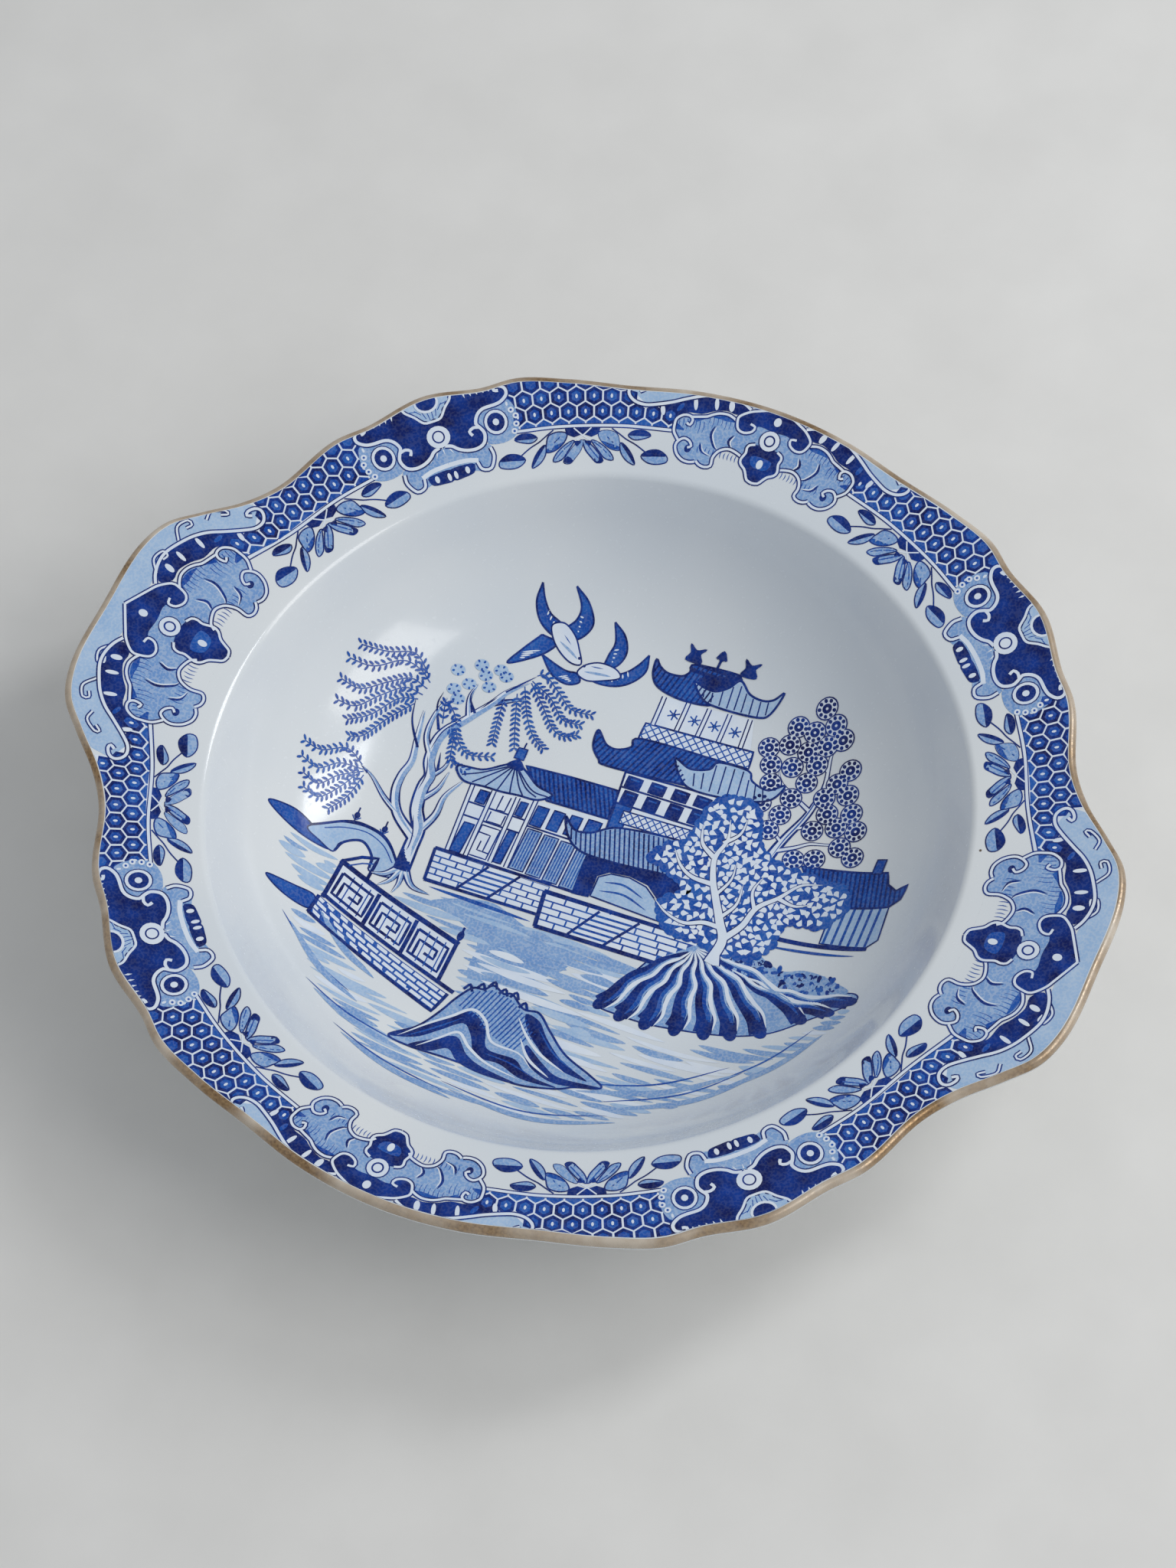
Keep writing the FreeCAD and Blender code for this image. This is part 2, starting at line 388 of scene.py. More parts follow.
glaze = makeGlaze("whiteGlaze")
footGlaze = makeGlaze("footGlaze", withFoot=True)
navy = makeInk("navyInk", srgb(0, 15, 82), srgb(12, 64, 158), 0.03, 0.75)
cobalt = makeInk("cobaltInk", srgb(10, 64, 154), srgb(48, 110, 190), 0.06, 0.6)
wash = makeInk("washInk", srgb(112, 150, 202), srgb(148, 178, 214), 0.25, 0.7)
paleWash = makeInk("paleWashInk", srgb(152, 182, 216), srgb(184, 204, 226), 0.2, 0.6)
reserve = makeInk("reservedGlaze", srgb(222, 229, 237), srgb(202, 214, 233), 0.0, 0.6)
gilt = makeGilt("wornGilt")

print("stage: pot")


def giveTree(name, inputs):
    tree = bpy.data.node_groups.new(name, "GeometryNodeTree")
    tree.interface.new_socket("Geometry", in_out="INPUT", socket_type="NodeSocketGeometry")
    for label, kind in inputs:
        tree.interface.new_socket(label, in_out="INPUT", socket_type="NodeSocket" + kind)
    tree.interface.new_socket("Geometry", in_out="OUTPUT", socket_type="NodeSocketGeometry")
    return tree, tree.nodes.new("NodeGroupInput"), tree.nodes.new("NodeGroupOutput")


def shapeNode(tree, kind, values=(), **settings):
    return addNode(tree, kind, values, "GeometryNode", **settings)


def finishTree(tree, start, end, geometry):
    realize = shapeNode(tree, "RealizeInstances", {"Geometry": geometry})
    finish = shapeNode(tree, "SetMaterial", {"Geometry": realize.outputs["Geometry"],
        "Material": start.outputs["Material"]})
    tree.links.new(finish.outputs["Geometry"], end.inputs["Geometry"])
    return tree


def makeLatheTree():
    # sweeps a half section, given about the core circle, once round the pot's axis
    tree, start, end = giveTree("turnedOnWheel", [("Turns", "Int"), ("Core", "Float"),
        ("Material", "Material")])
    section = shapeNode(tree, "MeshToCurve", {"Mesh": start.outputs["Geometry"]})
    ring = shapeNode(tree, "CurvePrimitiveCircle", {"Resolution": start.outputs["Turns"],
        "Radius": start.outputs["Core"]})
    sweep = shapeNode(tree, "CurveToMesh", {"Curve": ring.outputs["Curve"],
        "Profile Curve": section.outputs["Curve"]})
    weld = shapeNode(tree, "MergeByDistance", {"Geometry": sweep.outputs["Mesh"], "Distance": 1e-6})
    return finishTree(tree, start, end, weld.outputs["Geometry"])


def makeStampTree():
    # sets a small flat stamp on every point, turned and sized as the point says
    tree, start, end = giveTree("stampedPattern", [("Stamp", "Object"), ("Material", "Material")])
    stamp = shapeNode(tree, "ObjectInfo", {"Object": start.outputs["Stamp"]}, transform_space="ORIGINAL")
    turning, sizing = (shapeNode(tree, "InputNamedAttribute", {"Name": label},
        data_type="FLOAT_VECTOR") for label in ("turning", "sizing"))
    place = shapeNode(tree, "InstanceOnPoints", {
        "Points": start.outputs["Geometry"], "Instance": stamp.outputs["Geometry"],
        "Rotation": turning.outputs["Attribute"], "Scale": sizing.outputs["Attribute"]})
    return finishTree(tree, start, end, place.outputs["Instances"])


latheTree = makeLatheTree()
stampTree = makeStampTree()


def newMesh(name, points, faces, material=None, edges=()):
    mesh = bpy.data.meshes.new(name)
    mesh.from_pydata(points, list(edges), faces)
    if material:
        mesh.materials.append(material)
    return mesh


def aroundAxis(p, turn):
    # a point of a section, in millimetres, turned round the pot's axis
    return p.x * math.cos(turn) * mm, p.x * math.sin(turn) * mm, p.y * mm


def addObject(name, mesh):
    piece = bpy.data.objects.new(name, mesh)
    bpy.context.scene.collection.objects.link(piece)
    return piece


def runTree(piece, tree, values):
    # applies a tree to a piece and leaves a plain mesh
    modifier = piece.modifiers.new(tree.name, "NODES")
    modifier.node_group = tree
    for item in tree.interface.items_tree:
        if item.in_out == "INPUT" and item.name in values:
            modifier[item.identifier] = values[item.name]
    view = bpy.context.evaluated_depsgraph_get()
    made = bpy.data.meshes.new_from_object(piece.evaluated_get(view), depsgraph=view)
    piece.modifiers.remove(modifier)
    piece.data = made
    made.name = piece.name
    return piece


def declare(piece, slot, *nodes):
    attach(piece, "root")
    if nodes:
        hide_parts(*nodes)
    return piece


def smoothMesh(mesh, degrees=35):
    mesh.shade_smooth()
    mesh.set_sharp_from_angle(angle=math.radians(degrees))


def turnPiece(name, section, material, closed):
    core = bowl["core"]
    points = [(p.x * mm - core, -p.y * mm, 0) for p in section]
    edges = [(i, i + 1) for i in range(len(points) - 1)]
    if closed:
        edges.append((len(points) - 1, 0))
    piece = addObject(name, newMesh(name, points, [], edges=edges))
    runTree(piece, latheTree, {"Turns": bowl["turns"], "Core": core, "Material": material})
    fixOutward(piece.data)
    smoothMesh(piece.data)
    return piece


def fixOutward(mesh):
    # a closed shell whose volume comes out negative is turned right side out
    if sum(face.area * face.normal.dot(face.center) for face in mesh.polygons) < 0:
        mesh.flip_normals()


def makeWell():
    section = roundedSection([(floorPoint, 0), (floorCorner, bowl["floorArc"]), (shoulder,
        bowl["shoulderArc"]), (Vector((bowl["rootRadius"], topHeight(bowl["rootRadius"]))), 0),
        (Vector((bowl["rootRadius"], underFlange(bowl["rootRadius"]))), 0), (underShoulder,
        bowl["underShoulderArc"]), (underCorner, bowl["floorArc"] + bowl["wall"]), (underPoint, 0),])
    return turnPiece("wellShell", section, glaze, False)


foot = {
    "radius": footBox[1].x / mm - 4.1,     # middle of the ring that it stands on
    "outer": 2.1,
    "flare": 2.0,
    "top": 7.5,
    "round": 0.9,
    "cove": 1.6,                           # glaze gathered where the ring meets the underside
    "sunk": 2.2,                           # how far the ring's top spreads inside the wall
}


def underWell(radius):
    # height of the well's underside, over the foot
    arc = bowl["floorArc"] + bowl["wall"]
    flatEnd = underCorner.x - arc * math.tan(wallRadians / 2)
    if radius <= flatEnd:
        return bowl["underHeight"]
    return bowl["underHeight"] + arc - math.sqrt(arc * arc - (radius - flatEnd) ** 2)


def makeFoot():
    outer = foot["radius"] + foot["outer"]
    inner = foot["radius"] - foot["outer"]
    topOuter = outer + foot["flare"]
    topInner = topOuter - foot["top"]
    sunk = foot["sunk"]
    section = roundedSection([(Vector((foot["radius"], 0)), 0), (Vector((outer, 0)), foot["round"]),
        (Vector((topOuter, underWell(topOuter) - 0.2)), foot["cove"]), (Vector((topOuter + sunk,
        underWell(topOuter + sunk) + 0.3)), 0), (Vector((topInner - sunk,
        underWell(topInner - sunk) + 0.3)), 0), (Vector((topInner, underWell(topInner) - 0.2)),
        foot["cove"]), (Vector((inner, 0)), foot["round"]), (Vector((foot["radius"], 0)), 0),], step=0.8)
    return turnPiece("footRing", section[:-1], footGlaze, True)


def lipSection():
    # the rounded lip from its upper tangent to its lower one, measured from the upper corner
    corner = Vector((0, 0))
    depth = topHeight(bowl["sideRadius"]) - underFlange(bowl["sideRadius"])
    section = roundedSection([(corner - ray(slopeDegrees) * 6, 0), (corner, bowl["lipRound"]),
        (Vector((0, -depth)), bowl["lipRound"]), (Vector((0, -depth)) - ray(slopeDegrees) * 6, 0),],
        step=0.35, arcStep=12)
    return section[1:-1]


def flangeColumn(angle):
    # closed section of the flange at an angle, from the root's top round the lip and back
    edge = edgeRadius(angle)
    lip = [Vector((edge + p.x, topHeight(edge) + p.y)) for p in lipSection()]
    root = bowl["rootRadius"]
    top, low = ([root + (end.x - root) * k / rows for k in range(rows)] for end, rows in ((lip[0],
        bowl["topRows"]), (lip[-1], bowl["lowRows"])))
    column = [Vector((r, topHeight(r))) for r in top] + lip
    return column + [Vector((r, underFlange(r))) for r in reversed(low)]


def trimColumn(column, limit, keepInside):
    # the part of a section on one side of the root line, closed by a straight wall there
    half = len(column) // 2
    tops, lows = column[:half + 1], column[half:][::-1]
    ceiling = float(np.interp(limit, [p.x for p in tops], [p.y for p in tops]))
    ground = float(np.interp(limit, [p.x for p in lows], [p.y for p in lows]))
    trimmed = []
    for k, p in enumerate(column):
        outside = p.x > limit if keepInside else p.x < limit
        trimmed.append(Vector((limit, ceiling if k <= half else ground)) if outside else p)
    return trimmed


def flangePiece(name, angles, keepInside, closedRing):
    points = []
    for angle in angles:
        column = flangeColumn(angle)
        folded = abs((angle + 180) % 360 - 180)
        folded = 180 - folded if folded > 90 else folded
        limit = bowl["tabRoot"] / math.cos(math.radians(min(folded, 80)))
        if not keepInside or limit < edgeRadius(angle):
            column = trimColumn(column, limit, keepInside)
        points += [aroundAxis(p, math.radians(angle)) for p in column]
    count = len(angles)
    rows = len(points) // count
    faces = []
    for i in range(count if closedRing else count - 1):
        for k in range(rows):
            a, b = i * rows, ((i + 1) % count) * rows
            faces.append((a + k, b + k, b + (k + 1) % rows, a + (k + 1) % rows))
    mesh = newMesh(name, points, faces, glaze)
    cleanMesh(mesh)
    smoothMesh(mesh, 50)
    return addObject(name, mesh)


def cleanMesh(mesh):
    work = bmesh.new()
    work.from_mesh(mesh)
    bmesh.ops.remove_doubles(work, verts=work.verts, dist=2e-6)
    bmesh.ops.dissolve_degenerate(work, edges=work.edges, dist=1e-6)
    bmesh.ops.recalc_face_normals(work, faces=work.faces)
    work.to_mesh(mesh)
    work.free()


def rootMeets():
    # the angle at which a tab's root line runs out through the edge
    low, high = 15.0, 30.0
    for _ in range(40):
        middle = (low + high) / 2
        if edgeRadius(middle) > bowl["tabRoot"] / math.cos(math.radians(middle)):
            low = middle
        else:
            high = middle
    return low


def makeFlange():
    meets = rootMeets()
    rows = bowl["tabRows"]
    tabSteps = [meets * k / rows for k in range(-rows, rows + 1)]    # shared, so that the joint line closes
    angles = [(side + step) % 360 for side in (0, 180) for step in tabSteps]
    angles += [a for a in np.arange(0, 360, bowl["edgeStep"]) if abs((a + 90) % 180 - 90) > meets]
    declare(flangePiece("rimFlange", sorted(angles), True, True), "glazed_body", "rim_flange")
    for side, name, node in ((0, "tabHandleRight", "tab_handle_right"), (180, "tabHandleLeft",
            "tab_handle_left")):
        tab = flangePiece(name, [side + step for step in tabSteps], False, False)
        declare(tab, "glazed_body", node)


declare(makeWell(), "glazed_body", "well_body")
declare(makeFoot(), "foot", "foot_ring")
makeFlange()

print("stage: gilding")
gilding = {
    "firstRow": 6,                         # row of the lip's section where the band begins
    "inward": 0.3,                         # how far it runs in from there, and its wander
    "wander": 0.3,
    "lift": 0.05,                          # height over the glaze, and at the band's two borders
    "edgeLift": 0.004,
    "under": 0.54,                         # share of the lip's round that the brush reached
}


def makeGilding():
    # a brushed band over the lip, with an edge that wanders as a hand would leave it
    dice = random.Random(7)
    phases = [(dice.uniform(3, 40), dice.uniform(0, 6.28), dice.uniform(0.3, 1)) for _ in range(8)]
    lip = lipSection()
    used = lip[gilding["firstRow"]:int(len(lip) * gilding["under"])]
    points, faces = [], []
    angles = np.arange(0, 360, 0.5)
    for angle in angles:
        turn = math.radians(angle)
        wander = sum(size * math.sin(round(f) * turn + p) for f, p, size in phases) / 4
        inward = gilding["inward"] + gilding["wander"] * wander
        edge = edgeRadius(angle)
        corner = Vector((edge, topHeight(edge)))
        column = [corner + used[0] - ray(slopeDegrees) * inward] + [corner + p for p in used]
        column.append(column[-1] + Vector((0.0, -0.05)))
        for k, p in enumerate(column):
            before, after = column[max(k - 1, 0)], column[min(k + 1, len(column) - 1)]
            along = (after - before).normalized()
            out = Vector((-along.y, along.x))
            if out.x + out.y < 0:
                out = -out
            lift = gilding["lift"] if 0 < k < len(column) - 1 else gilding["edgeLift"]
            points.append(aroundAxis(p + out * lift, turn))
    count = len(angles)
    rows = len(points) // count
    for i in range(count):
        for k in range(rows - 1):
            a, b = i * rows, ((i + 1) % count) * rows
            faces.append((a + k, a + k + 1, b + k + 1, b + k))
    mesh = newMesh("giltBand", points, faces, gilt)
    smoothMesh(mesh, 60)
    declare(addObject("giltBand", mesh), "gilding", "gilt_edge")


makeGilding()

print("stage: drawing tools")
inks = {"pale": paleWash, "wash": wash, "cobalt": cobalt, "navy": navy, "white": reserve}
drawing = {
    "firstCoat": 0.03,                     # height of the first coat over the glaze
    "coat": 0.014,                         # and of each later one over the one before
    "grid": 1.8,                           # spacing of points inside a filled shape
    "step": 0.8,                           # and along a line
    "shift": 0.0003,                       # rise from one shape to the next, so that no two coincide
    "shifts": 28,
    "lipGap": 1.95,                        # how far the border keeps inside the edge
    "tip": 0.06,                           # width that a tapered line still has at its tip
}


def bearing(x, y):
    return math.degrees(math.atan2(y, x))


def newSheet():
    return {"coat": 0, "count": 0, "edge": False, **{ink: {"points": [], "faces": []} for ink in inks}}


def addShape(sheet, ink, points, faces):
    layer = sheet[ink]
    sheet["count"] += 1
    lift = drawing["firstCoat"] + drawing["coat"] * sheet["coat"]
    lift += drawing["shift"] * (sheet["count"] % drawing["shifts"])
    base = len(layer["points"])
    if sheet["edge"]:
        points = [keepInside(x, y) for x, y in points]
    layer["points"] += [(x, y, lift) for x, y in points]
    for face in faces:
        area = 0.0
        for a, b in zip(face, face[1:] + face[:1]):
            area += points[a][0] * points[b][1] - points[b][0] * points[a][1]
        if abs(area) < 1e-5:
            continue
        layer["faces"].append([base + k for k in (face if area > 0 else face[::-1])])


def keepInside(x, y):
    # a point of the border that would run over the lip stops short of it
    radius = math.hypot(x, y)
    limit = edgeRadius(bearing(x, y)) - drawing["lipGap"]
    share = min(1.0, limit / max(radius, 1e-6))
    return x * share, y * share


def smoothPath(points, closed=False, step=None):
    step = step or drawing["step"]
    knots = [Vector(p) for p in points]
    if closed:
        knots = [knots[-1]] + knots + knots[:2]
    else:
        knots = [knots[0] * 2 - knots[1]] + knots + [knots[-1] * 2 - knots[-2]]
    path = []
    for a, b, c, d in zip(knots, knots[1:], knots[2:], knots[3:]):
        count = max(2, math.ceil((c - b).length / step))
        for k in range(count):
            t = k / count
            path.append(((b * 2) + (c - a) * t + (a * 2 - b * 5 + c * 4 - d) * t * t
                         + (b * 3 - a - c * 3 + d) * t ** 3) * 0.5)
    return path if closed else path + [knots[-2]]


def straightPath(points, closed=False, step=1.6):
    knots = [Vector(p) for p in points]
    knots += knots[:1] if closed else []
    path = []
    for a, b in zip(knots, knots[1:]):
        count = max(1, math.ceil((b - a).length / step))
        path += [a.lerp(b, k / count) for k in range(count)]
    return path if closed else path + [knots[-1]]


def stroke(sheet, ink, points, width, taper="none", smooth=True, closed=False):
    # a line of one ink; taper is none, both, start or end
    path = smoothPath(points, closed) if smooth and len(points) > 2 else straightPath(points, closed)
    count = len(path)
    edges = []
    for k, p in enumerate(path):
        before = path[k - 1] if closed or k else p
        after = path[(k + 1) % count] if closed or k < count - 1 else p
        along = (after - before).normalized()
        t = k / max(1, count - 1)
        share = {"none": 1.0, "both": math.sin(math.pi * t) ** 0.6 if 0 < t < 1 else 0.0, "start": t ** 0.6,
            "end": (1 - t) ** 0.6}[taper]
        half = Vector((-along.y, along.x)) * width / 2 * max(share, drawing["tip"])
        edges += [tuple(p + half), tuple(p - half)]
    last = count if closed else count - 1
    faces = []
    for k in range(last):
        a, b = 2 * k, 2 * ((k + 1) % count)
        faces.append([a, a + 1, b + 1, b])
    addShape(sheet, ink, edges, faces)


def fill(sheet, ink, outline, smooth=True):
    path = smoothPath(outline, True, 1.2) if smooth else straightPath(outline, True)
    rim = []
    for p in path:
        if not rim or (p - rim[-1]).length > 0.02:
            rim.append(p)
    if (rim[0] - rim[-1]).length < 0.02:
        rim.pop()
    xs, ys = [p.x for p in rim], [p.y for p in rim]
    grid = drawing["grid"]
    inner = []
    if max(xs) - min(xs) > grid and max(ys) - min(ys) > grid:
        inner = [Vector((x, y)) for x in np.arange(min(xs) + grid / 2, max(xs),
            grid) for y in np.arange(min(ys) + grid / 2, max(ys), grid)]
    points, _, faces = delaunay_2d_cdt(rim + inner, [], [list(range(len(rim)))], 1, 1e-4)[:3]
    used = sorted({k for face in faces for k in face})
    index = {k: i for i, k in enumerate(used)}
    addShape(sheet, ink, [tuple(points[k]) for k in used], [[index[k] for k in f] for f in faces])


def disc(sheet, ink, x, y, wide, high=None, turn=0.0, hole=0.0):
    # an oval, or a ring where hole is the share of it that stays open
    high = high or wide
    count = 18 if max(wide, high) > 1 else 10
    spin = Matrix.Rotation(math.radians(turn), 2)
    ring = [spin @ Vector((wide * math.cos(a),
        high * math.sin(a))) for a in (2 * math.pi * k / count for k in range(count))]
    centre = Vector((x, y))
    points = [tuple(centre + p) for p in ring]
    around = [(k, (k + 1) % count) for k in range(count)]
    if hole or max(wide, high) > drawing["grid"]:
        points += [tuple(centre + p * (hole or 0.55)) for p in ring]
        faces = [[a, b, count + b, count + a] for a, b in around]
        around = [] if hole else [(count + a, count + b) for a, b in around]
    else:
        faces = []
    if not hole:
        points.append(tuple(centre))
        faces += [[a, b, len(points) - 1] for a, b in around]
    addShape(sheet, ink, points, faces)


def inkPieces(sheet, prefix, slot, *nodes):
    for ink in inks:
        layer = sheet[ink]
        if not layer["faces"]:
            continue
        laid = [drape(*point) for point in layer["points"]]
        mesh = newMesh(prefix + ink.capitalize(), [at for at, _ in laid], layer["faces"], inks[ink])
        mesh.shade_smooth()
        mesh.normals_split_custom_set_from_vertices([normal for _, normal in laid])
        declare(addObject(mesh.name, mesh), slot, *nodes)
        print("  ", mesh.name, len(layer["faces"]), "faces")


def stampPiece(name, outline, places, ink, slot, coat, *nodes):
    # repeats one small shape, by the stamping tree, at (x, y, turn, wide, high)
    flat = [(x * mm, y * mm, 0) for x, y in outline]
    stamp = addObject(name + "Stamp", newMesh(name + "Stamp", flat, [list(range(len(flat)))]))
    lift = drawing["firstCoat"] + drawing["coat"] * coat
    points, turns, sizes = [], [], []
    for k, (x, y, turn, wide, high) in enumerate(places):
        at, normal = drape(x, y, lift + drawing["shift"] * (k % drawing["shifts"]))
        spin = Quaternion((0, 0, 1), math.radians(turn))
        facing = Vector((0, 0, 1)).rotation_difference(Vector(normal)) @ spin
        points.append(at)
        turns += list(facing.to_euler())
        sizes += [wide, high, 1.0]
    carrier = newMesh(name, points, [])
    for label, values in (("turning", turns), ("sizing", sizes)):
        carrier.attributes.new(label, "FLOAT_VECTOR", "POINT").data.foreach_set("vector", values)
    piece = addObject(name, carrier)
    runTree(piece, stampTree, {"Stamp": stamp, "Material": inks[ink]})
    bpy.data.objects.remove(stamp)
    print("  ", name, len(places), "stamps")
    return declare(piece, slot, *nodes)


def ovalOutline(count=8):
    return [(math.cos(2 * math.pi * k / count), math.sin(2 * math.pi * k / count)) for k in range(count)]


print("stage: border")
border = {
    "clouds": (0.0, 89.0, 179.0, 268.0),   # middles of the cloud motifs; the first and third are on tabs
    "halfUnit": 44.4,                      # from a cloud's middle to the next dark scroll's
    "tabStretch": 0.37,                    # how much taller the motif is drawn on a tab
    "stretchFrom": 100.6,                  # radius that the stretch starts from
    "tabWiden": 0.06,                      # and how much wider
    "cellPitch": 2.23,                     # honeycomb: spacing, half the line between, and half heights
    "cellGap": 0.12,
    "cellTall": 1.25,
    "cellPoint": 2.5,
    "cellCore": 0.62,                      # share of a cell that its lighter middle takes
    "cellRows": (108.9, 113.0, 117.1, 121.2),
    "eyeGap": 3.2,                         # no eye in a cell nearer to the edge than this
    "whiteLine": 0.62,
    "keyline": 0.34,                       # dark edge each side of a white line
}
edging = newSheet()
edging["edge"] = True
cellEyes = []
bobbles = []


def unitPoint(cloud, side, u, r):
    # plan position of a border point, u degrees to one side of a cloud's middle
    if cloud in (0, 2):
        t = min(max((u - 11) / 8, 0.0), 1.0)
        stretch = border["tabStretch"] * (1 - t * t * (3 - 2 * t))
        r += (r - border["stretchFrom"]) * stretch
        u *= 1 + border["tabWiden"] * max(0.0, 1 - max(0.0, u - 12) / 10)
    clouds = border["clouds"]
    spacing = (clouds[(cloud + side) % 4] - clouds[cloud]) * side % 360
    turn = math.radians(clouds[cloud] + side * u * spacing / 2 / border["halfUnit"])
    return r * math.cos(turn), r * math.sin(turn)


def forUnit(cloud, side):
    def at(points):
        return [unitPoint(cloud, side, u, r) for u, r in points]
    return at


def reserved(at, points, width=None):
    # a line left white in the print, with a fine dark edge on both sides
    width = width or border["whiteLine"]
    stroke(edging, "navy", at(points), width + 2 * border["keyline"])
    edging["coat"] += 1
    stroke(edging, "white", at(points), width)
    edging["coat"] -= 1


def dot(at, ink, u, r, wide, high, turn=None, hole=0.0):
    # an oval of the border, turned to face the axis unless a turn is given
    x, y = at([(u, r)])[0]
    disc(edging, ink, x, y, wide, high, bearing(x, y) if turn is None else turn, hole)


def mirrored(points):
    return points + [(-u, r) for u, r in points[::-1] if abs(u) > 1e-6]


def drawGround(at, tab):
    # washes behind the cloud and the swag, and the light ground of a tab
    edging["coat"] = 0
    fill(edging, "wash", at([(0, 101.4), (1.6, 103), (2.9, 106.5), (4.1, 107.3), (5, 107.4), (5.9, 106.6),
        (6.4, 105.4), (6.65, 104), (6.6, 102), (7.4, 101.3), (8.3, 101.6), (9.8, 101.7), (10.85, 102),
        (11.8, 103.4), (12.2, 105.4), (12.2, 107.5), (12.75, 109), (12.85, 111), (12.7, 112.6),
        (11.9, 113.8), (9.9, 114), (8.3, 115.2), (7.4, 116), (6.3, 116.2), (5.4, 115.6), (4.9, 115),
        (3, 116), (0, 116)]))
    top = 126 if tab else 123
    fill(edging, "pale", at([(0, 121.5), (2.5, 119.5), (4.66, 120), (7.9, 120.8), (10.85, 119),
        (13.75, 116.6), (17, 115.2), (18.8, 116.6), (19.4, 118.8), (19, 121), (18, top), (9, top + 8),
        (0, top + 8)]), smooth=False)


def drawHoneycomb(at):
    edging["coat"] = 1
    fill(edging, "white", at([(12.6, 109.6), (18, 109.5), (24, 109.5), (30, 109.5), (35.2, 109.6),
        (35.6, 114), (35.2, 119), (35, 126), (30, 126), (24, 126), (19.4, 126), (18.9, 119), (17, 115.4),
        (14, 116), (12.8, 113)]), smooth=False)
    pitch, core = border["cellPitch"], border["cellCore"]
    for row, middle in enumerate(border["cellRows"]):
        for k in range(11):
            u = 12.5 + pitch * (k + 0.5 * (row % 2))
            if u > 35 or (middle > 115 and u < 18.4) or (middle > 120 and u < 20.2):
                continue
            half, tall, point = pitch / 2 - border["cellGap"], border["cellTall"], border["cellPoint"]
            cell = [(half, tall), (0, point), (-half, tall), (-half, -tall), (0, -point), (half, -tall)]
            shape = [(u + du, max(middle + dr, 109.75)) for du, dr in cell]
            edging["coat"] = 2
            fanShape("navy" if row else "cobalt", at(shape), at([(u, max(middle, 109.9))])[0])
            if row == 0:
                continue
            edging["coat"] = 3
            x, y = at([(u, middle)])[0]
            fanShape("cobalt", at([(u + du * core, middle + dr * core) for du, dr in cell]), (x, y))
            if middle < edgeRadius(bearing(x, y)) - border["eyeGap"]:
                cellEyes.append((x, y, bearing(x, y), 0.62, 0.34))


def fanShape(ink, ring, centre):
    count = len(ring)
    addShape(edging, ink, ring + [centre], [[k, (k + 1) % count, count] for k in range(count)])


def drawCloud(at, tab):
    edging["coat"] = 1
    # shading inside the cloud, then its folds
    fill(edging, "cobalt", at([(5, 114.8), (5.6, 115.3), (6.4, 115.6), (7.4, 115.3), (8.1, 114.6),
        (7.2, 114.6), (6.2, 114.4)]))
    fill(edging, "cobalt", at([(8.3, 114.6), (9.6, 113.9), (10.4, 113.4), (10, 112.6), (9.2, 113.6)]))
    for fold in ([(7.5, 112.6), (7.75, 110), (6.9, 107), (6.3, 106.5)],
                 [(4.75, 111.4), (5.2, 109.4), (4.7, 107.8)],
                 [(8.95, 107.4), (8.5, 105.4), (7.2, 104.4)]):
        stroke(edging, "navy", at(fold), 0.75, "both")
        edging["coat"] = 2
        stroke(edging, "white", at([(u - 0.25, r) for u, r in fold]), 0.38, "both")
        edging["coat"] = 1
    dot(at, "navy", 10.4, 105.2, 0.9, 1.1, 0)
    for k in range(14):
        u = 5.2 + 0.55 * k
        high, low = (114.9, 112.6 - 0.5 * (k % 3)) if k < 7 else (112.9, 110.4 - 0.5 * (k % 3))
        stroke(edging, "cobalt", at([(u, high), (u - 0.1, (high + low) / 2), (u, low)]), 0.26, "end")
        stroke(edging, "cobalt", at([(u - 3.4, 104.4), (u - 3.3, 105.4), (u - 3.4, 106.3 + 0.4 * (k % 2))]),
            0.24, "both")
    edging["coat"] = 4
    reserved(at, [(2.4, 105.4), (2.9, 106.5), (4.1, 107.3), (5, 107.4), (5.9, 106.6), (6.4, 105.4),
        (6.65, 104), (6.6, 102), (7.4, 101.3), (8.3, 101.6), (8.85, 102.4)])
    reserved(at, [(9.0, 102.1), (9.8, 101.7), (10.85, 102), (11.8, 103.4), (12.2, 105.4), (11.9, 106.8),
        (11.2, 107.7), (10.4, 107.2), (10, 106), (10.5, 105.4)])
    reserved(at, [(12.0, 107.0), (12.75, 109), (12.85, 111), (12.7, 112.6), (11.9, 113.8), (11, 113.8),
        (10.6, 112.8), (10.85, 111.4), (11.3, 111.9)])
    reserved(at, [(10.9, 113.6), (9.9, 114), (8.85, 114.5), (8.3, 115.2), (7.4, 116), (6.3, 116.2),
        (5.4, 115.6), (4.9, 115)])
    if tab:
        for u, r in ((6.5, 121), (11, 121.5), (15, 121.5)):
            reserved(at, [(u - 1.6, r - 1), (u - 0.4, r + 0.9), (u + 0.9, r + 0.5), (u + 0.8, r - 0.7),
                (u + 0.1, r - 0.5)], 0.5)


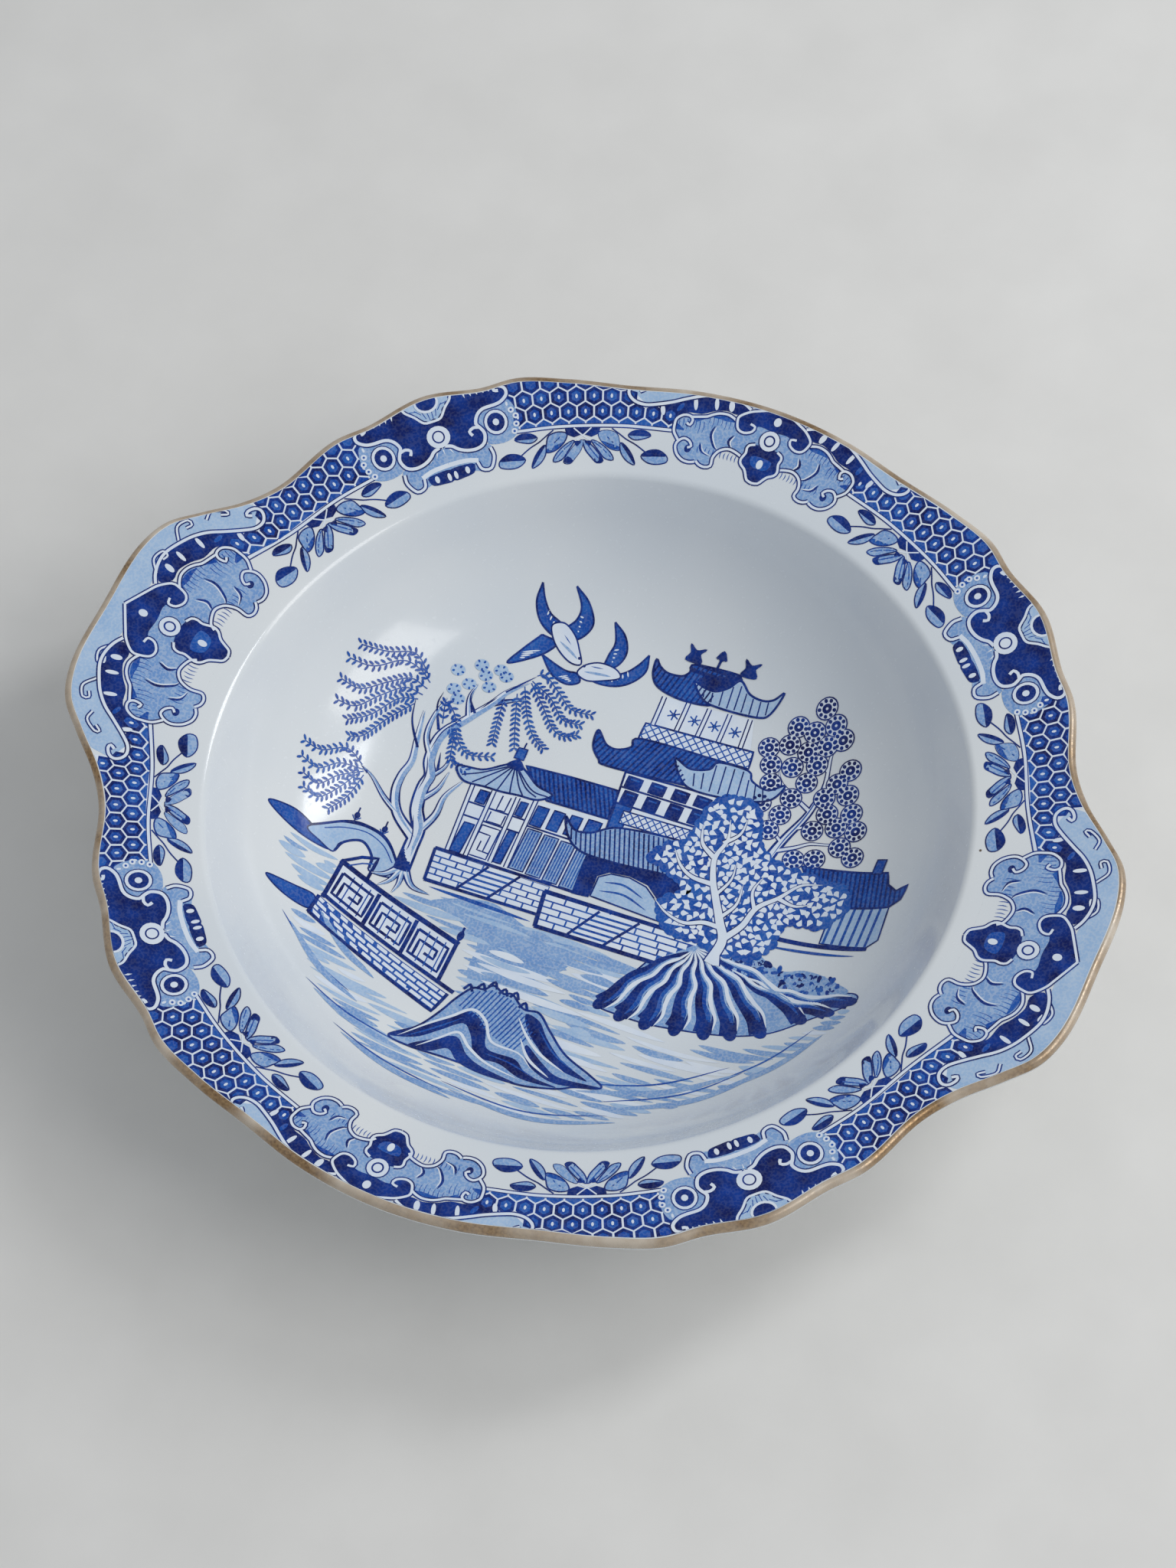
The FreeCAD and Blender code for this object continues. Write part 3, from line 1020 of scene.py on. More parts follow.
def drawCrown(at):
    edging["coat"] = 5
    half = [(0, 121.7), (2.5, 119.5), (3.75, 118.4), (4.85, 116.6), (4.9, 115), (4.5, 113.2), (3.6, 112.7),
        (2.66, 113.6), (2.4, 115), (1.7, 115.5), (0, 115.2)]
    fill(edging, "navy", at(mirrored(half)))
    lower = [(0, 111), (1.6, 110.6), (2.3, 110), (2.5, 109), (2.4, 107.8), (2.75, 105.8), (2.5, 104.6),
        (1.75, 103.6), (1.3, 102.4), (0.85, 101.2), (0, 100.8)]
    fill(edging, "navy", at(mirrored(lower)))
    for side in (1, -1):
        reserved(at, [(side * u, r) for u, r in half[:8] + [(2.5, 115), (3.2, 115.4)]])
        reserved(at, [(side * u, r) for u, r in lower[1:]])
    edging["coat"] = 7
    fill(edging, "cobalt", at([(-1.5, 107.4), (0, 107.9), (1.5, 107.4), (1.2, 105.2), (0, 104.6),
        (-1.2, 105.2)]))
    for r, wide, high, ink, hole in ((118, 1.2, 1.0, "white", 0), (112.6, 2.9, 2.9, "navy", 0.72),
            (112.6, 2.7, 2.6, "white", 0), (112.6, 1.6, 1.5, "navy", 0.72), (106, 1.25, 0.85, "white", 0)):
        edging["coat"] += 1
        dot(at, ink, 0, r, wide, high, hole=hole)


def drawSwag(at):
    edging["coat"] = 3
    fill(edging, "navy", at([(4.2, 118.7), (5.8, 120.4), (7.9, 120.5), (10.8, 118.7), (13.7, 116.3),
        (15.4, 115.3), (14, 113.2), (13, 111.6), (12.9, 113), (11.5, 114.6), (9.6, 114.9), (8.2, 116.2),
        (6.6, 117.1), (5.2, 116.8)]))
    edging["coat"] = 4
    for u, r, wide, high in ((6.2, 118.6, 1.5, 0.75), (8.1, 118.3, 1.7, 0.55), (10.7, 117.3, 1.8, 0.55),
            (14.7, 114.3, 1.4, 0.6)):
        (x, y), (x2, y2) = at([(u, r), (u + 0.1, r + 1)])
        disc(edging, "white", x, y, wide, high, bearing(x2 - x, y2 - y))
    dot(at, "cobalt", 12.5, 115.7, 1.4, 0.6, 70)
    edging["coat"] = 5
    reserved(at, [(3.75, 119), (4.66, 120), (5.75, 120.7), (6.85, 121), (7.9, 120.8), (9.4, 120),
        (10.85, 119), (12.3, 117.8), (13.75, 116.6), (15.6, 115.6), (17, 115.2), (18.3, 115.8),
        (19.1, 117.2), (19.3, 118.8), (18.85, 120), (17.9, 120.2), (17.4, 119.3), (17.9, 118.7)], 0.75)


def drawSpray(at):
    edging["coat"] = 2
    stroke(edging, "navy", at([(12.9, 108.8), (20, 108.7), (28, 108.7), (34.6, 108.8)]), 0.3)
    stroke(edging, "navy", at([(12.9, 109.75), (20, 109.65), (28, 109.65), (34.6, 109.75)]), 0.3)
    stroke(edging, "white", at([(12.9, 109.3), (20, 109.2), (28, 109.2), (34.6, 109.3)]), 0.7)
    middle = 25.2
    fill(edging, "navy", at([(middle + d, r) for d, r in ((-2.4, 108.6), (2.4, 108.6), (2.3, 107),
        (1.2, 106.1), (0, 106.9), (-1.2, 106.1), (-2.3, 107))]), smooth=False)
    edging["coat"] = 3
    for side in (1, -1):
        def spray(points):
            return at([(middle + side * d, r) for d, r in points])
        stroke(edging, "white", spray([(1.2, 108.6), (0.1, 106.7), (-0.9, 105.4)]), 0.35)
        inner = [(1.2, 105.2), (2.4, 104.4), (3.9, 102), (4.4, 100), (3.2, 100.3), (2.2, 102.4)]
        fill(edging, "wash", spray(inner))
        stroke(edging, "navy", spray(inner), 0.34, closed=True)
        stroke(edging, "cobalt", spray([(1.5, 104.8), (2.8, 102.9), (4.0, 100.7)]), 0.3)
        petal = [(0, 105.3), (1.0, 104.3), (2.1, 102), (2.9, 99.7), (2.0, 99.2), (1.2, 100.6), (0.3, 102.8)]
        fill(edging, "wash", spray(petal))
        fill(edging, "navy", spray([(2.9, 99.7), (2.0, 99.2), (1.5, 100), (2.3, 101.2)]))
        fill(edging, "navy", spray([(0.2, 104.9), (1.2, 105.1), (0.9, 103.6)]))
        stroke(edging, "navy", spray(petal), 0.36, closed=True)
        stroke(edging, "cobalt", spray([(0.5, 104.4), (1.3, 102.4), (2.2, 100.4)]), 0.34)
        wide = [(2.2, 107.2), (2.6, 105), (3.9, 103), (5.3, 102.7), (5.1, 105), (4.7, 107), (3.4, 107.8)]
        fill(edging, "wash", spray(wide))
        stroke(edging, "cobalt", spray([(2.9, 106.8), (3.8, 105.4), (4.8, 103.6)]), 0.34)
        fill(edging, "cobalt", spray([(2.6, 105), (3.9, 103), (5.3, 102.7), (5.1, 103.6), (3.9, 104.3)]))
        stroke(edging, "navy", spray(wide), 0.36, closed=True)
        stroke(edging, "navy", spray([(4.0, 108.4), (5.2, 106.8), (6.1, 105.6), (7.6, 104.2),
            (9.8, 101.6)]), 0.36)
        for leaf, dark in (([(5.3, 104.6), (5.4, 102.2), (6.3, 100), (7.6, 99.0), (7.1, 101.5),
                (6.1, 103.8)], [(5.3, 104.6), (6.3, 102), (7.6, 99.0), (7.1, 101.5), (6.1, 103.8)]),
                ([(6.3, 106.8), (7.2, 108.1), (8.6, 108.2), (9.4, 107), (8, 105.8), (7, 105.7)],
                [(6.3, 106.8), (7.2, 108.1), (8.6, 108.2), (9.4, 107), (7.8, 106.7)]), ([(8.4, 101.4),
                (9.3, 103), (10.8, 103.5), (12.1, 102.2), (12.2, 100.6), (10.8, 99.7), (9.4, 99.9)],
                [(8.4, 101.4), (9.3, 103), (10.8, 103.5), (12.1, 102.2), (10.4, 101.7)])):
            fill(edging, "wash", spray(leaf))
            edging["coat"] = 4
            fill(edging, "navy", spray(dark))
            stroke(edging, "navy", spray(leaf), 0.32, closed=True)
            edging["coat"] = 3


def drawScroll(at):
    # the dark double scroll between two honeycombs; w runs from its middle
    def back(points):
        return at([(border["halfUnit"] - w, r) for w, r in points])
    edging["coat"] = 3
    fill(edging, "navy", back([(0, 125.5), (4, 125.5), (8.2, 124), (9.6, 121.6), (9.8, 119.8), (9.1, 118.2),
        (8.2, 117.5), (6.5, 117), (5.6, 115.6), (5.2, 113.5), (5.6, 112.2), (6.0, 110.4), (5.6, 108),
        (4.5, 107), (3.1, 107.2), (2.0, 108.2), (1.3, 109.4), (0, 110)]))
    fill(edging, "wash", back([(0, 109.4), (1.6, 108.8), (3.1, 107.3), (4.5, 106.9), (6.2, 107.6),
        (6.6, 105), (6.3, 101.6), (4.6, 100.7), (3.4, 101.4), (0, 101)]))
    fill(edging, "wash", back([(5.4, 112.4), (6.2, 110.6), (6.2, 107.6), (8.4, 107), (10.2, 108.6),
        (10.7, 111.5), (10.6, 115.4), (9.6, 118.4), (7.2, 117.3), (5.6, 115.4)]))
    edging["coat"] = 4
    fill(edging, "navy", back([(0, 103.6), (3.2, 103.6), (3.5, 102.4), (3.1, 101), (1.6, 100.5), (0, 100.6)]))
    fill(edging, "pale", back([(0, 123.8), (3.1, 125), (2.9, 121.8), (2.0, 119.8), (1.1, 117.4), (0, 117.2)]))
    reserved(back, [(0, 117.2), (1.1, 117.5), (2.0, 119.8), (2.9, 121.8), (3.1, 123.6)])
    edging["coat"] = 5
    for w, foot in ((0.3, 117.8), (0.9, 118.4), (1.5, 119.8), (2.1, 121)):
        stroke(edging, "cobalt", back([(w * 0.7, foot), (w * 1.15, 121.4)]), 0.22)
    stroke(edging, "white", back([(0, 104.9), (2.4, 104.7), (4.2, 103.9)]), 1.2)
    dot(back, "white", 0.5, 101.8, 1.1, 0.5)
    dot(back, "white", 2.3, 102.2, 1.0, 0.6)
    for w in (4.7, 5.5, 6.3, 7.1, 7.8):
        stroke(edging, "white", back([(w, 120.9 + (w - 4.7) * 0.1), (w - 0.15, 123)]), 0.55, "both")
    for w, r in ((0.0, 109.2), (0.9, 108.9), (1.7, 108.1)):
        stroke(edging, "white", back([(w, r), (w * 1.4, r - 1.5)]), 0.4, "end")
    edging["coat"] = 6
    reserved(back, [(8.9, 121), (8.4, 121.2), (8.5, 122.4), (9.6, 121.6), (9.8, 119.8), (9.1, 118.2),
        (8.2, 117.5), (6.5, 117), (5.6, 115.6), (5.2, 113.5), (5.6, 112.2), (6.0, 110.4), (5.6, 108),
        (4.5, 107), (3.1, 107.2), (2.0, 108.2), (1.3, 109.4), (0.4, 110)], 0.85)
    reserved(back, [(5.5, 112.4), (4.7, 112.6), (4.1, 111.8), (4.4, 110.6)], 0.8)
    reserved(back, [(6.3, 106.5), (6.5, 104), (5.7, 101.1), (4.4, 101.4), (4.0, 103.5)], 0.7)
    edging["coat"] = 8
    for ink, share in (("navy", 1.0), ("white", 0.92), ("navy", 0.7), ("white", 0.26)):
        dot(back, ink, 7.8, 112.8, 3.6 * share, 3.3 * share)
        edging["coat"] += 1
    for x, y in back([(10.0, 115.3), (10.5, 113.6), (10.4, 111.4), (10.0, 109.5)]):
        bobbles.append((x, y, 0, 0.85, 0.85))


def drawScrollMiddle(at):
    # parts of the dark scroll that stand on its own middle
    edging["coat"] = 9
    for r, wide, high, ink in ((112.8, 3.0, 3.1, "white"), (112.8, 1.75, 1.7, "navy"),
            (112.8, 1.35, 1.3, "white"), (122.6, 2.9, 3.3, "white"), (122.8, 2.4, 2.7, "navy")):
        edging["coat"] += 0.5
        dot(at, ink, border["halfUnit"], r, wide, high)


def drawBorder():
    for cloud in range(4):
        tab = cloud in (0, 2)
        for side in (1, -1):
            at = forUnit(cloud, side)
            drawGround(at, tab)
            drawHoneycomb(at)
            drawSwag(at)
            drawCloud(at, tab)
            drawSpray(at)
            drawScroll(at)
        drawCrown(forUnit(cloud, 1))
        drawScrollMiddle(forUnit(cloud, 1))
    strips = ["border_print_" + str(k) for k in range(1, 5)]
    inkPieces(edging, "border", "border_ink", *strips)
    stampPiece("borderCellEyes", ovalOutline(), cellEyes, "white", "border_ink", 4)
    stampPiece("borderBobbles", ovalOutline(10), bobbles, "white", "border_ink", 7.5)
    stampPiece("borderBobbleEyes", ovalOutline(), [(x, y, t, w * 0.4, h * 0.4) for x, y, t, w,
        h in bobbles], "cobalt", "border_ink", 8.4)


drawBorder()

print("stage: scene")
scene = {
    "keyline": 0.42,                       # engraved outlines
    "pairedEdge": 0.35,                    # dark edge each side of a white branch or post
    "leafSize": (0.86, 0.36),
    "leafPitch": 1.6,
    "fanLeaves": 620,                      # leaves on the near tree, their spacing, and places tried
    "fanPitch": 1.62,
    "fanTries": 16000,
    "seed": 11,
}
view = newSheet()
leaflets, bricks, blossomDots, fanLeaves = [], [], [], []


def insideOf(outline, x, y):
    hit = False
    for (x1, y1), (x2, y2) in zip(outline, outline[1:] + outline[:1]):
        if (y1 > y) != (y2 > y) and x < (x2 - x1) * (y - y1) / (y2 - y1) + x1:
            hit = not hit
    return hit


def cuts(outline, degrees, pitch):
    # parallel lines at an angle, cut to an outline
    spin = Matrix.Rotation(math.radians(-degrees), 2)
    turned = [spin @ Vector(p) for p in outline]
    level = min(p.y for p in turned) + pitch / 2
    top = max(p.y for p in turned)
    back = spin.inverted()
    found = []
    while level < top:
        xs = sorted(a.x + (b.x - a.x) * (level - a.y) / (b.y - a.y) for a, b in zip(turned,
            turned[1:] + turned[:1]) if (a.y > level) != (b.y > level))
        found += [(back @ Vector((left, level)), back @ Vector((right, level))) for left,
            right in zip(xs[::2], xs[1::2])]
        level += pitch
    return found


def hatch(ink, outline, degrees, pitch, width, taper="none"):
    for first, last in cuts(outline, degrees, pitch):
        if (last - first).length > 0.4:
            stroke(view, ink, [first, last], width, taper)


def drawn(ink, outline, smooth=True, width=None):
    # a filled shape with its engraved outline
    fill(view, ink, outline, smooth)
    view["coat"] += 1
    stroke(view, "navy", outline, width or scene["keyline"], closed=True, smooth=smooth)
    view["coat"] -= 1


def lines(ink, width, *paths, taper="none", smooth=True):
    for path in paths:
        stroke(view, ink, path, width, taper, smooth)


def pairedLine(path, width, taper="none", smooth=True):
    # a white line with a dark edge on both sides
    stroke(view, "navy", path, width + 2 * scene["pairedEdge"], taper, smooth)
    view["coat"] += 1
    stroke(view, "white", path, width, taper, smooth)
    view["coat"] -= 1


def onQuad(corners, s, t):
    a, b, c, d = (Vector(p) for p in corners)
    return a.lerp(b, s).lerp(d.lerp(c, s), t)


def layBricks(corners, rows, length):
    # courses of light bricks with dark joints over a four-sided wall, corners from lower left
    fill(view, "cobalt", corners, smooth=False)
    a, b = Vector(corners[0]), Vector(corners[1])
    count = max(2, round((b - a).length / length))
    tall = (Vector(corners[3]) - a).length / rows
    for row in range(rows):
        for k in range(count + row % 2):
            first = max(0.0, (k - 0.5 * (row % 2)) / count)
            last = min(1.0, (k + 1 - 0.5 * (row % 2)) / count)
            middle = onQuad(corners, (first + last) / 2, (row + 0.5) / rows)
            along = onQuad(corners, last, (row + 0.5) / rows) - onQuad(corners, first, (row + 0.5) / rows)
            turn = bearing(along.x, along.y)
            bricks.append((middle.x, middle.y, turn, max(0.3, along.length / 2 - 0.24), tall / 2 - 0.22))


def drawWater():
    dice = random.Random(scene["seed"])
    view["coat"] = 0
    pond = [(-20, -21), (-8, -23.5), (26, -21.5), (33, -19), (24, -30), (17, -38), (40, -39), (60, -34),
        (70, -27), (80, -14), (78, -24), (68, -40), (54, -55), (36, -68), (14, -76), (-10, -78), (-30, -74),
        (-46, -64), (-60, -50), (-64, -44), (-58, -45), (-38, -55), (-19, -60), (-15, -52), (-18, -46),
        (-21, -34), (-36, -30), (-50, -27), (-44, -27), (-30, -24.5)]
    far = [(-72, -25), (-60, -25.5), (-58.5, -30), (-58.5, -37), (-62, -39), (-74, -30)]
    near = [(-16, -36), (-8, -24), (26, -22), (16, -38), (20, -46), (2, -44), (-4, -42), (-13, -44)]
    fill(view, "wash", [(-17, -40), (-18, -32), (-26, -28), (-34, -26), (-20, -20.5), (-7.5, -23.5),
        (4, -23), (6, -30), (-1, -37), (-8, -41.5), (-14, -44)])
    for coat, area, pitch, gap, choices in ((1, pond, 1.9, 0.34, ("wash", "wash", "pale", "white")), (2,
            far, 2.0, 0.5, ("wash", "pale")), (3, near, 2.1, 0.4, ("pale", "wash", "white", "wash"))):
        view["coat"] = coat
        for first, last in cuts(area, 1.5, pitch):
            run = last - first
            if run.length < 3:
                continue
            along = dice.uniform(-6, 3)
            while along < run.length:
                length = dice.uniform(10, 30)
                start, stop = max(0, along), min(run.length, along + length)
                along += length * (1 + dice.uniform(0.0, gap))
                if stop - start < 3:
                    continue
                a, b = first + run.normalized() * start, first + run.normalized() * stop
                bend = Vector((0, dice.uniform(-0.4, 0.4) + 0.005 * abs(a.x) * (b - a).length / 18))
                sweep = [a, a.lerp(b, 0.5) - bend, b]
                stroke(view, dice.choice(choices), sweep, dice.uniform(1.2, 2.3), "both")
    view["coat"] = 3
    for path in ([(-64, -48), (-52, -56), (-40, -60)], [(-50, -63), (-38, -66.5), (-22, -68)], [(-38, -72),
            (-24, -75.5), (-6, -77)], [(-8, -74), (14, -74), (34, -67)], [(30, -63), (48, -54), (60, -43)],
            [(52, -50), (64, -38), (72, -26)], [(20, -60), (40, -53), (56, -42)], [(-60, -40), (-50, -47),
            (-40, -51)]):
        stroke(view, "cobalt", path, 0.55, "both")
        stroke(view, "wash", [(x + 3, y - 1.8) for x, y in path], 1.9, "both")


def frond(path):
    # one hanging frond: a fine stem with leaflets in pairs
    stem = smoothPath(path, step=scene["leafPitch"])
    stroke(view, "cobalt", path, 0.28)
    for before, here in zip(stem, stem[1:]):
        along = (here - before).normalized()
        turn = bearing(along.x, along.y)
        side = Vector((-along.y, along.x))
        for sign in (1, -1):
            at = here + side * sign * 0.72 + along * 0.35
            leaflets.append((at.x, at.y, turn + sign * 48, scene["leafSize"][0], scene["leafSize"][1]))


def drawWillow():
    view["coat"] = 5
    limbs = (([(-44.6, -21), (-45.2, -14), (-45.8, -8), (-48.6, -3), (-49.8, 3.3), (-49.6, 7.2),
        (-51.6, 11), (-52.2, 17), (-51, 21.1), (-48.7, 24.4), (-46.4, 28.2), (-43.7, 32.6), (-41.4, 37.2),
        (-37.4, 42)], 3.8), ([(-46, -11), (-52.6, -6.3), (-55.6, -1), (-56.2, 4), (-55.6, 9), (-57, 15),
        (-58.6, 23)], 2.6), ([(-52, -6.6), (-57.4, -3.8), (-62.6, 0), (-66.4, 1.4)], 1.2), ([(-51.6, 12),
        (-55, 17), (-55.6, 23), (-54.6, 29)], 1.4), ([(-45.4, -9), (-43.4, -3), (-43.4, 3), (-41, 9)], 1.9),
        ([(-48.6, 0), (-46, 4.4), (-45.4, 10)], 1.3), ([(-47.4, 26.6), (-49.4, 31.6), (-49, 36)], 1.2),
        ([(-43, 33), (-38.6, 35.8), (-35.4, 37.4)], 1.0), ([(-49.8, 6), (-47, 11), (-47.4, 16)], 1.0),
        ([(-45, -20), (-48, -23.6), (-51.2, -24.8)], 1.7), ([(-44.6, -20), (-46, -24.6), (-48.4, -27.4)],
        1.6), ([(-44.4, -20), (-43.6, -24.6), (-44.2, -27.8)], 1.4), ([(-44, -20), (-40.2, -24),
        (-35, -24.6)], 1.6),)
    # bark's outline, then its light, then its shade
    for ink, share, more, aside, taper in (("navy", 1, 0.8, 0, "end"), ("white", 0.84, 0, 0, "end"),
            ("wash", 0.4, 0, 0.18, "both")):
        for path, width in limbs:
            stroke(view, ink, [(x + width * aside, y) for x, y in path], width * share + more, taper)
        view["coat"] += 1
    view["coat"] = 7
    lines("navy", 0.34, [(-45.6, -18), (-46.2, -11), (-48.6, -5)], [(-50.6, 2), (-50.6, 7), (-52.4, 12)],
        [(-52.6, 14), (-51.8, 20), (-48.6, 25.6)], [(-45.6, 30), (-42.8, 35)], taper="both")
    lines("navy", 0.75, [(-46.4, 28.3), (-49.2, 31.7), (-49.2, 34.6)], [(-48.4, 9.4), (-49.8, 14.4)],
        [(-55.8, 13), (-60, 19), (-61.6, 25)], [(-53, 20), (-56, 26), (-56, 30)], [(-41.4, 37), (-38.5, 41),
        (-35.8, 44.4)], [(-42.6, 34), (-38.6, 36), (-36, 38)], [(-64, 0.4), (-66.2, 1.4)], taper="end")
    for path in ([(-35.8, 44.6), (-33.7, 45.6), (-28.7, 42.6), (-23.7, 39.3), (-18.1, 39.7)],
            [(-36.4, 42.2), (-30.9, 37.2), (-25.9, 32.2), (-22, 31.1), (-19.2, 32.8)], [(-36.4, 42.8),
            (-30, 40.2), (-24.6, 35.6), (-19.6, 35.9)], [(-37.6, 40.6), (-33.7, 33.3), (-29.8, 28.3),
            (-25.6, 25.6)], [(-38.6, 38), (-35.6, 30), (-32.6, 22.8)], [(-41.2, 35.6), (-40, 28.4),
            (-38.6, 22)], [(-60, 30.4), (-63.4, 32.2), (-68.1, 31.7), (-73.7, 26.1), (-79.2, 23.9)],
            [(-60, 28.6), (-64.6, 28.9), (-69.4, 24.6), (-74.3, 19.2), (-79, 18.2)], [(-60.4, 26.6),
            (-65, 26), (-69.6, 20.6), (-73.6, 14.6), (-77.8, 13)], [(-61, 25), (-65.4, 22.4), (-69.6, 15),
            (-74, 10.1)], [(-61.4, 23.4), (-65.6, 16.4), (-69, 9), (-71.8, 6.6)], [(-61, 32), (-66, 35),
            (-72, 31.4), (-78, 28.6)], [(-52.8, 22), (-54.3, 27.8), (-50.9, 25.6), (-47.6, 20),
            (-43.1, 16.7), (-37, 18.3)], [(-51, 22), (-48.6, 19.6), (-46.4, 13.4), (-41.6, 12)],
            [(-65.3, 0.6), (-70.9, -1.2), (-74.7, -5.8), (-79, -5.7)], [(-65, 0.2), (-69.8, -4.4),
            (-73, -9.6), (-77, -9.4)], [(-66, -1.2), (-68.8, -8.4), (-71.6, -12.9), (-75.4, -12.8)],
            [(-64.6, -0.8), (-65.6, -8.4), (-68.1, -14.4)], [(-66, 1.6), (-71, 3.4), (-76, -1),
            (-80, -1.6)]):
        frond(path)
    for x, y in ((-54, 32), (-51, 35), (-48, 39), (-45, 42), (-50, 41), (-46, 36.5), (-55, 37), (-52, 30),
            (-43, 41)):
        disc(view, "pale", x, y, 1.9, 1.5, 30)
        for k in range(5):
            turn = k * 1.26
            leaflets.append((x + 1.3 * math.cos(turn), y + 1.1 * math.sin(turn), 72 * k, 0.42, 0.3))


def drawBirds():
    view["coat"] = 3
    for wing in ([(-43.2, 66), (-43.2, 61.6), (-40.6, 57.8), (-36, 56), (-33, 57.8), (-35.4, 59.6),
            (-38.8, 60.6), (-41.4, 63)], [(-34.8, 69), (-30.6, 67), (-27.6, 63), (-28.8, 59), (-31.8, 56.6),
            (-34, 58.4), (-32, 62), (-32, 65.4)], [(-38.9, 55), (-34.6, 54.8), (-36, 51.6), (-39.6, 48),
            (-44.4, 44.6), (-42, 49.8)], [(-37, 50.4), (-30, 49), (-26.6, 49.4), (-25, 47.4), (-28, 45.6),
            (-32.6, 46.6)], [(-10.8, 61), (-10, 56.6), (-12.4, 52.4), (-16.2, 49.8), (-21.4, 49),
            (-26, 50.4), (-19.4, 52), (-15.2, 54.2), (-12.6, 57.4)], [(-22.4, 65.4), (-18.6, 63.2),
            (-16.6, 59.4), (-17.6, 55.4), (-20.6, 53.2), (-20.8, 57), (-20.4, 60.8)]):
        knots = [Vector(p) for p in wing]
        pointed = knots[:1] + smoothPath(knots)[1:]
        fill(view, "cobalt", [tuple(p) for p in pointed], smooth=False)
        view["coat"] += 1
        stroke(view, "navy", wing + wing[:1], 0.5)
        end = (knots[3] + knots[4]) / 2
        for share, slant in ((0.3, 0.42), (0.45, 0.55), (0.6, 0.68), (0.75, 0.82)):
            root, out = knots[-1].lerp(end, share), knots[1].lerp(end, slant)
            stroke(view, "white", [root, root.lerp(out, 0.5), out], 0.42, "both")
        view["coat"] -= 1
    view["coat"] = 5
    drawn("white", [(-37.4, 58.2), (-34.6, 60), (-31, 58.4), (-28.6, 55.6), (-26.6, 52.2), (-29, 51.4),
        (-32.4, 52.6), (-35.6, 55)])
    disc(view, "white", -35.2, 57.9, 1.5)
    disc(view, "navy", -35.2, 58, 0.4)
    drawn("white", [(-26.6, 49.6), (-25.4, 52.4), (-22, 54.4), (-17.6, 54.4), (-15.6, 52.6), (-19, 50.4),
        (-23.4, 48.6)])
    view["coat"] = 7
    lines("wash", 0.7, [(-34, 55.4), (-30.6, 54.2), (-28, 53)], [(-25, 50.6), (-21.4, 51.4), (-18, 52)],
        taper="both")
    lines("cobalt", 0.3, [(-33.6, 57.4), (-31, 55.8)], [(-24, 52.6), (-20.6, 53.2)], taper="both")
    for x, y in ((-27.6, 53.4), (-25.6, 52)):
        disc(view, "navy", x, y, 0.4)


def drawBridge():
    view["coat"] = 1
    drawn("cobalt", [(-80, -22.4), (-74.8, -19.6), (-68.7, -20.9), (-62.6, -24.2), (-70.9, -24.8)])
    drawn("cobalt", [(-71.5, -41.2), (-65, -39.2), (-60, -38.8), (-59.6, -43.1), (-66.5, -43.3)])
    view["coat"] = 2
    drawn("pale", [(-70, -22), (-66, -17.6), (-62.6, -15), (-57, -13.6), (-51.4, -15), (-45.3, -21.1),
        (-46.4, -24), (-52, -24.6), (-52.6, -21), (-57, -18), (-61.4, -21), (-62, -24.4), (-66, -23.6)])
    view["coat"] = 4
    lines("navy", 0.7, [(-69.8, -21), (-62.6, -14.6), (-57, -13.2), (-51.4, -14.6), (-45.6, -20.4)],
        [(-61.8, -24), (-60.8, -20.4), (-57, -17.8), (-53.2, -20.4), (-52.2, -24)])
    lines("cobalt", 0.32, [(-66.6, -19.6), (-62.4, -16.6), (-57, -15), (-51.8, -16.4), (-47.6, -20)])
    for x, y in ((-61.2, -11.8), (-53.4, -12)):
        disc(view, "navy", x, y, 0.75, 1.0)
        lines("navy", 0.4, [(x, y - 2), (x - 0.2, y + 2.4)])
        lines("cobalt", 0.3, [(x - 1.1, y - 0.4), (x, y - 1.4), (x + 1.1, y - 0.2)])


def drawFence():
    view["coat"] = 2
    layBricks([(-59.2, -43.6), (-20.2, -54.4), (-18.9, -48.4), (-59, -38)], 4, 4.2)
    fill(view, "white", [(-58.6, -36.9), (-22.6, -46.2), (-22.6, -35), (-58.4, -26.2)], smooth=False)
    view["coat"] = 3
    for k in range(3):
        # a squared spiral in each panel
        panel = [onQuad([(-58.4, -36.9), (-22.6, -46), (-22.6, -35), (-58.4, -26.4)], s, t) for s,
            t in ((k / 3 + 0.02, 0.06), (k / 3 + 0.315, 0.06), (k / 3 + 0.315, 0.94), (k / 3 + 0.02, 0.94))]
        for path in ([(0.06, 0.86), (0.94, 0.86), (0.94, 0.12), (0.2, 0.12), (0.2, 0.62), (0.72, 0.62),
                (0.72, 0.36), (0.44, 0.36)], [(0.06, 0.86), (0.06, 0.12), (0.2, 0.12)]):
            lines("navy", 0.8, [onQuad(panel, s, t) for s, t in path], smooth=False)
        lines("cobalt", 0.34, *[[onQuad(panel, s, 0.02),
            onQuad(panel, s, 0.98)] for s in (0.34, 0.57, 0.82)], smooth=False)
    view["coat"] = 5
    lines("navy", 1.4, [(-59.2, -25.6), (-21.9, -34.6)], smooth=False)
    lines("navy", 1.1, [(-58.9, -36.9), (-17.4, -47.5)], [(-58.7, -25.4), (-58.3, -38)], [(-22.5, -34.4),
        (-22.5, -46)], [(-46.5, -29.6), (-46.5, -40)], [(-34.6, -32.4), (-34.6, -43.2)], smooth=False)
    lines("navy", 0.9, [(-58.9, -25.6), (-55, -22), (-51.2, -20.4), (-51.2, -27.4)], [(-59.2, -37.9),
        (-59.2, -44.2)], [(-59.2, -44), (-20.2, -54.8), (-18.6, -48.4)], smooth=False)
    lines("cobalt", 0.4, [(-57, -26), (-54.2, -23.6), (-51.6, -22.4)], smooth=False)
    disc(view, "navy", -22.5, -32.2, 0.9, 1.4)
    lines("navy", 0.6, [(-22.5, -34), (-22.5, -29.6)])


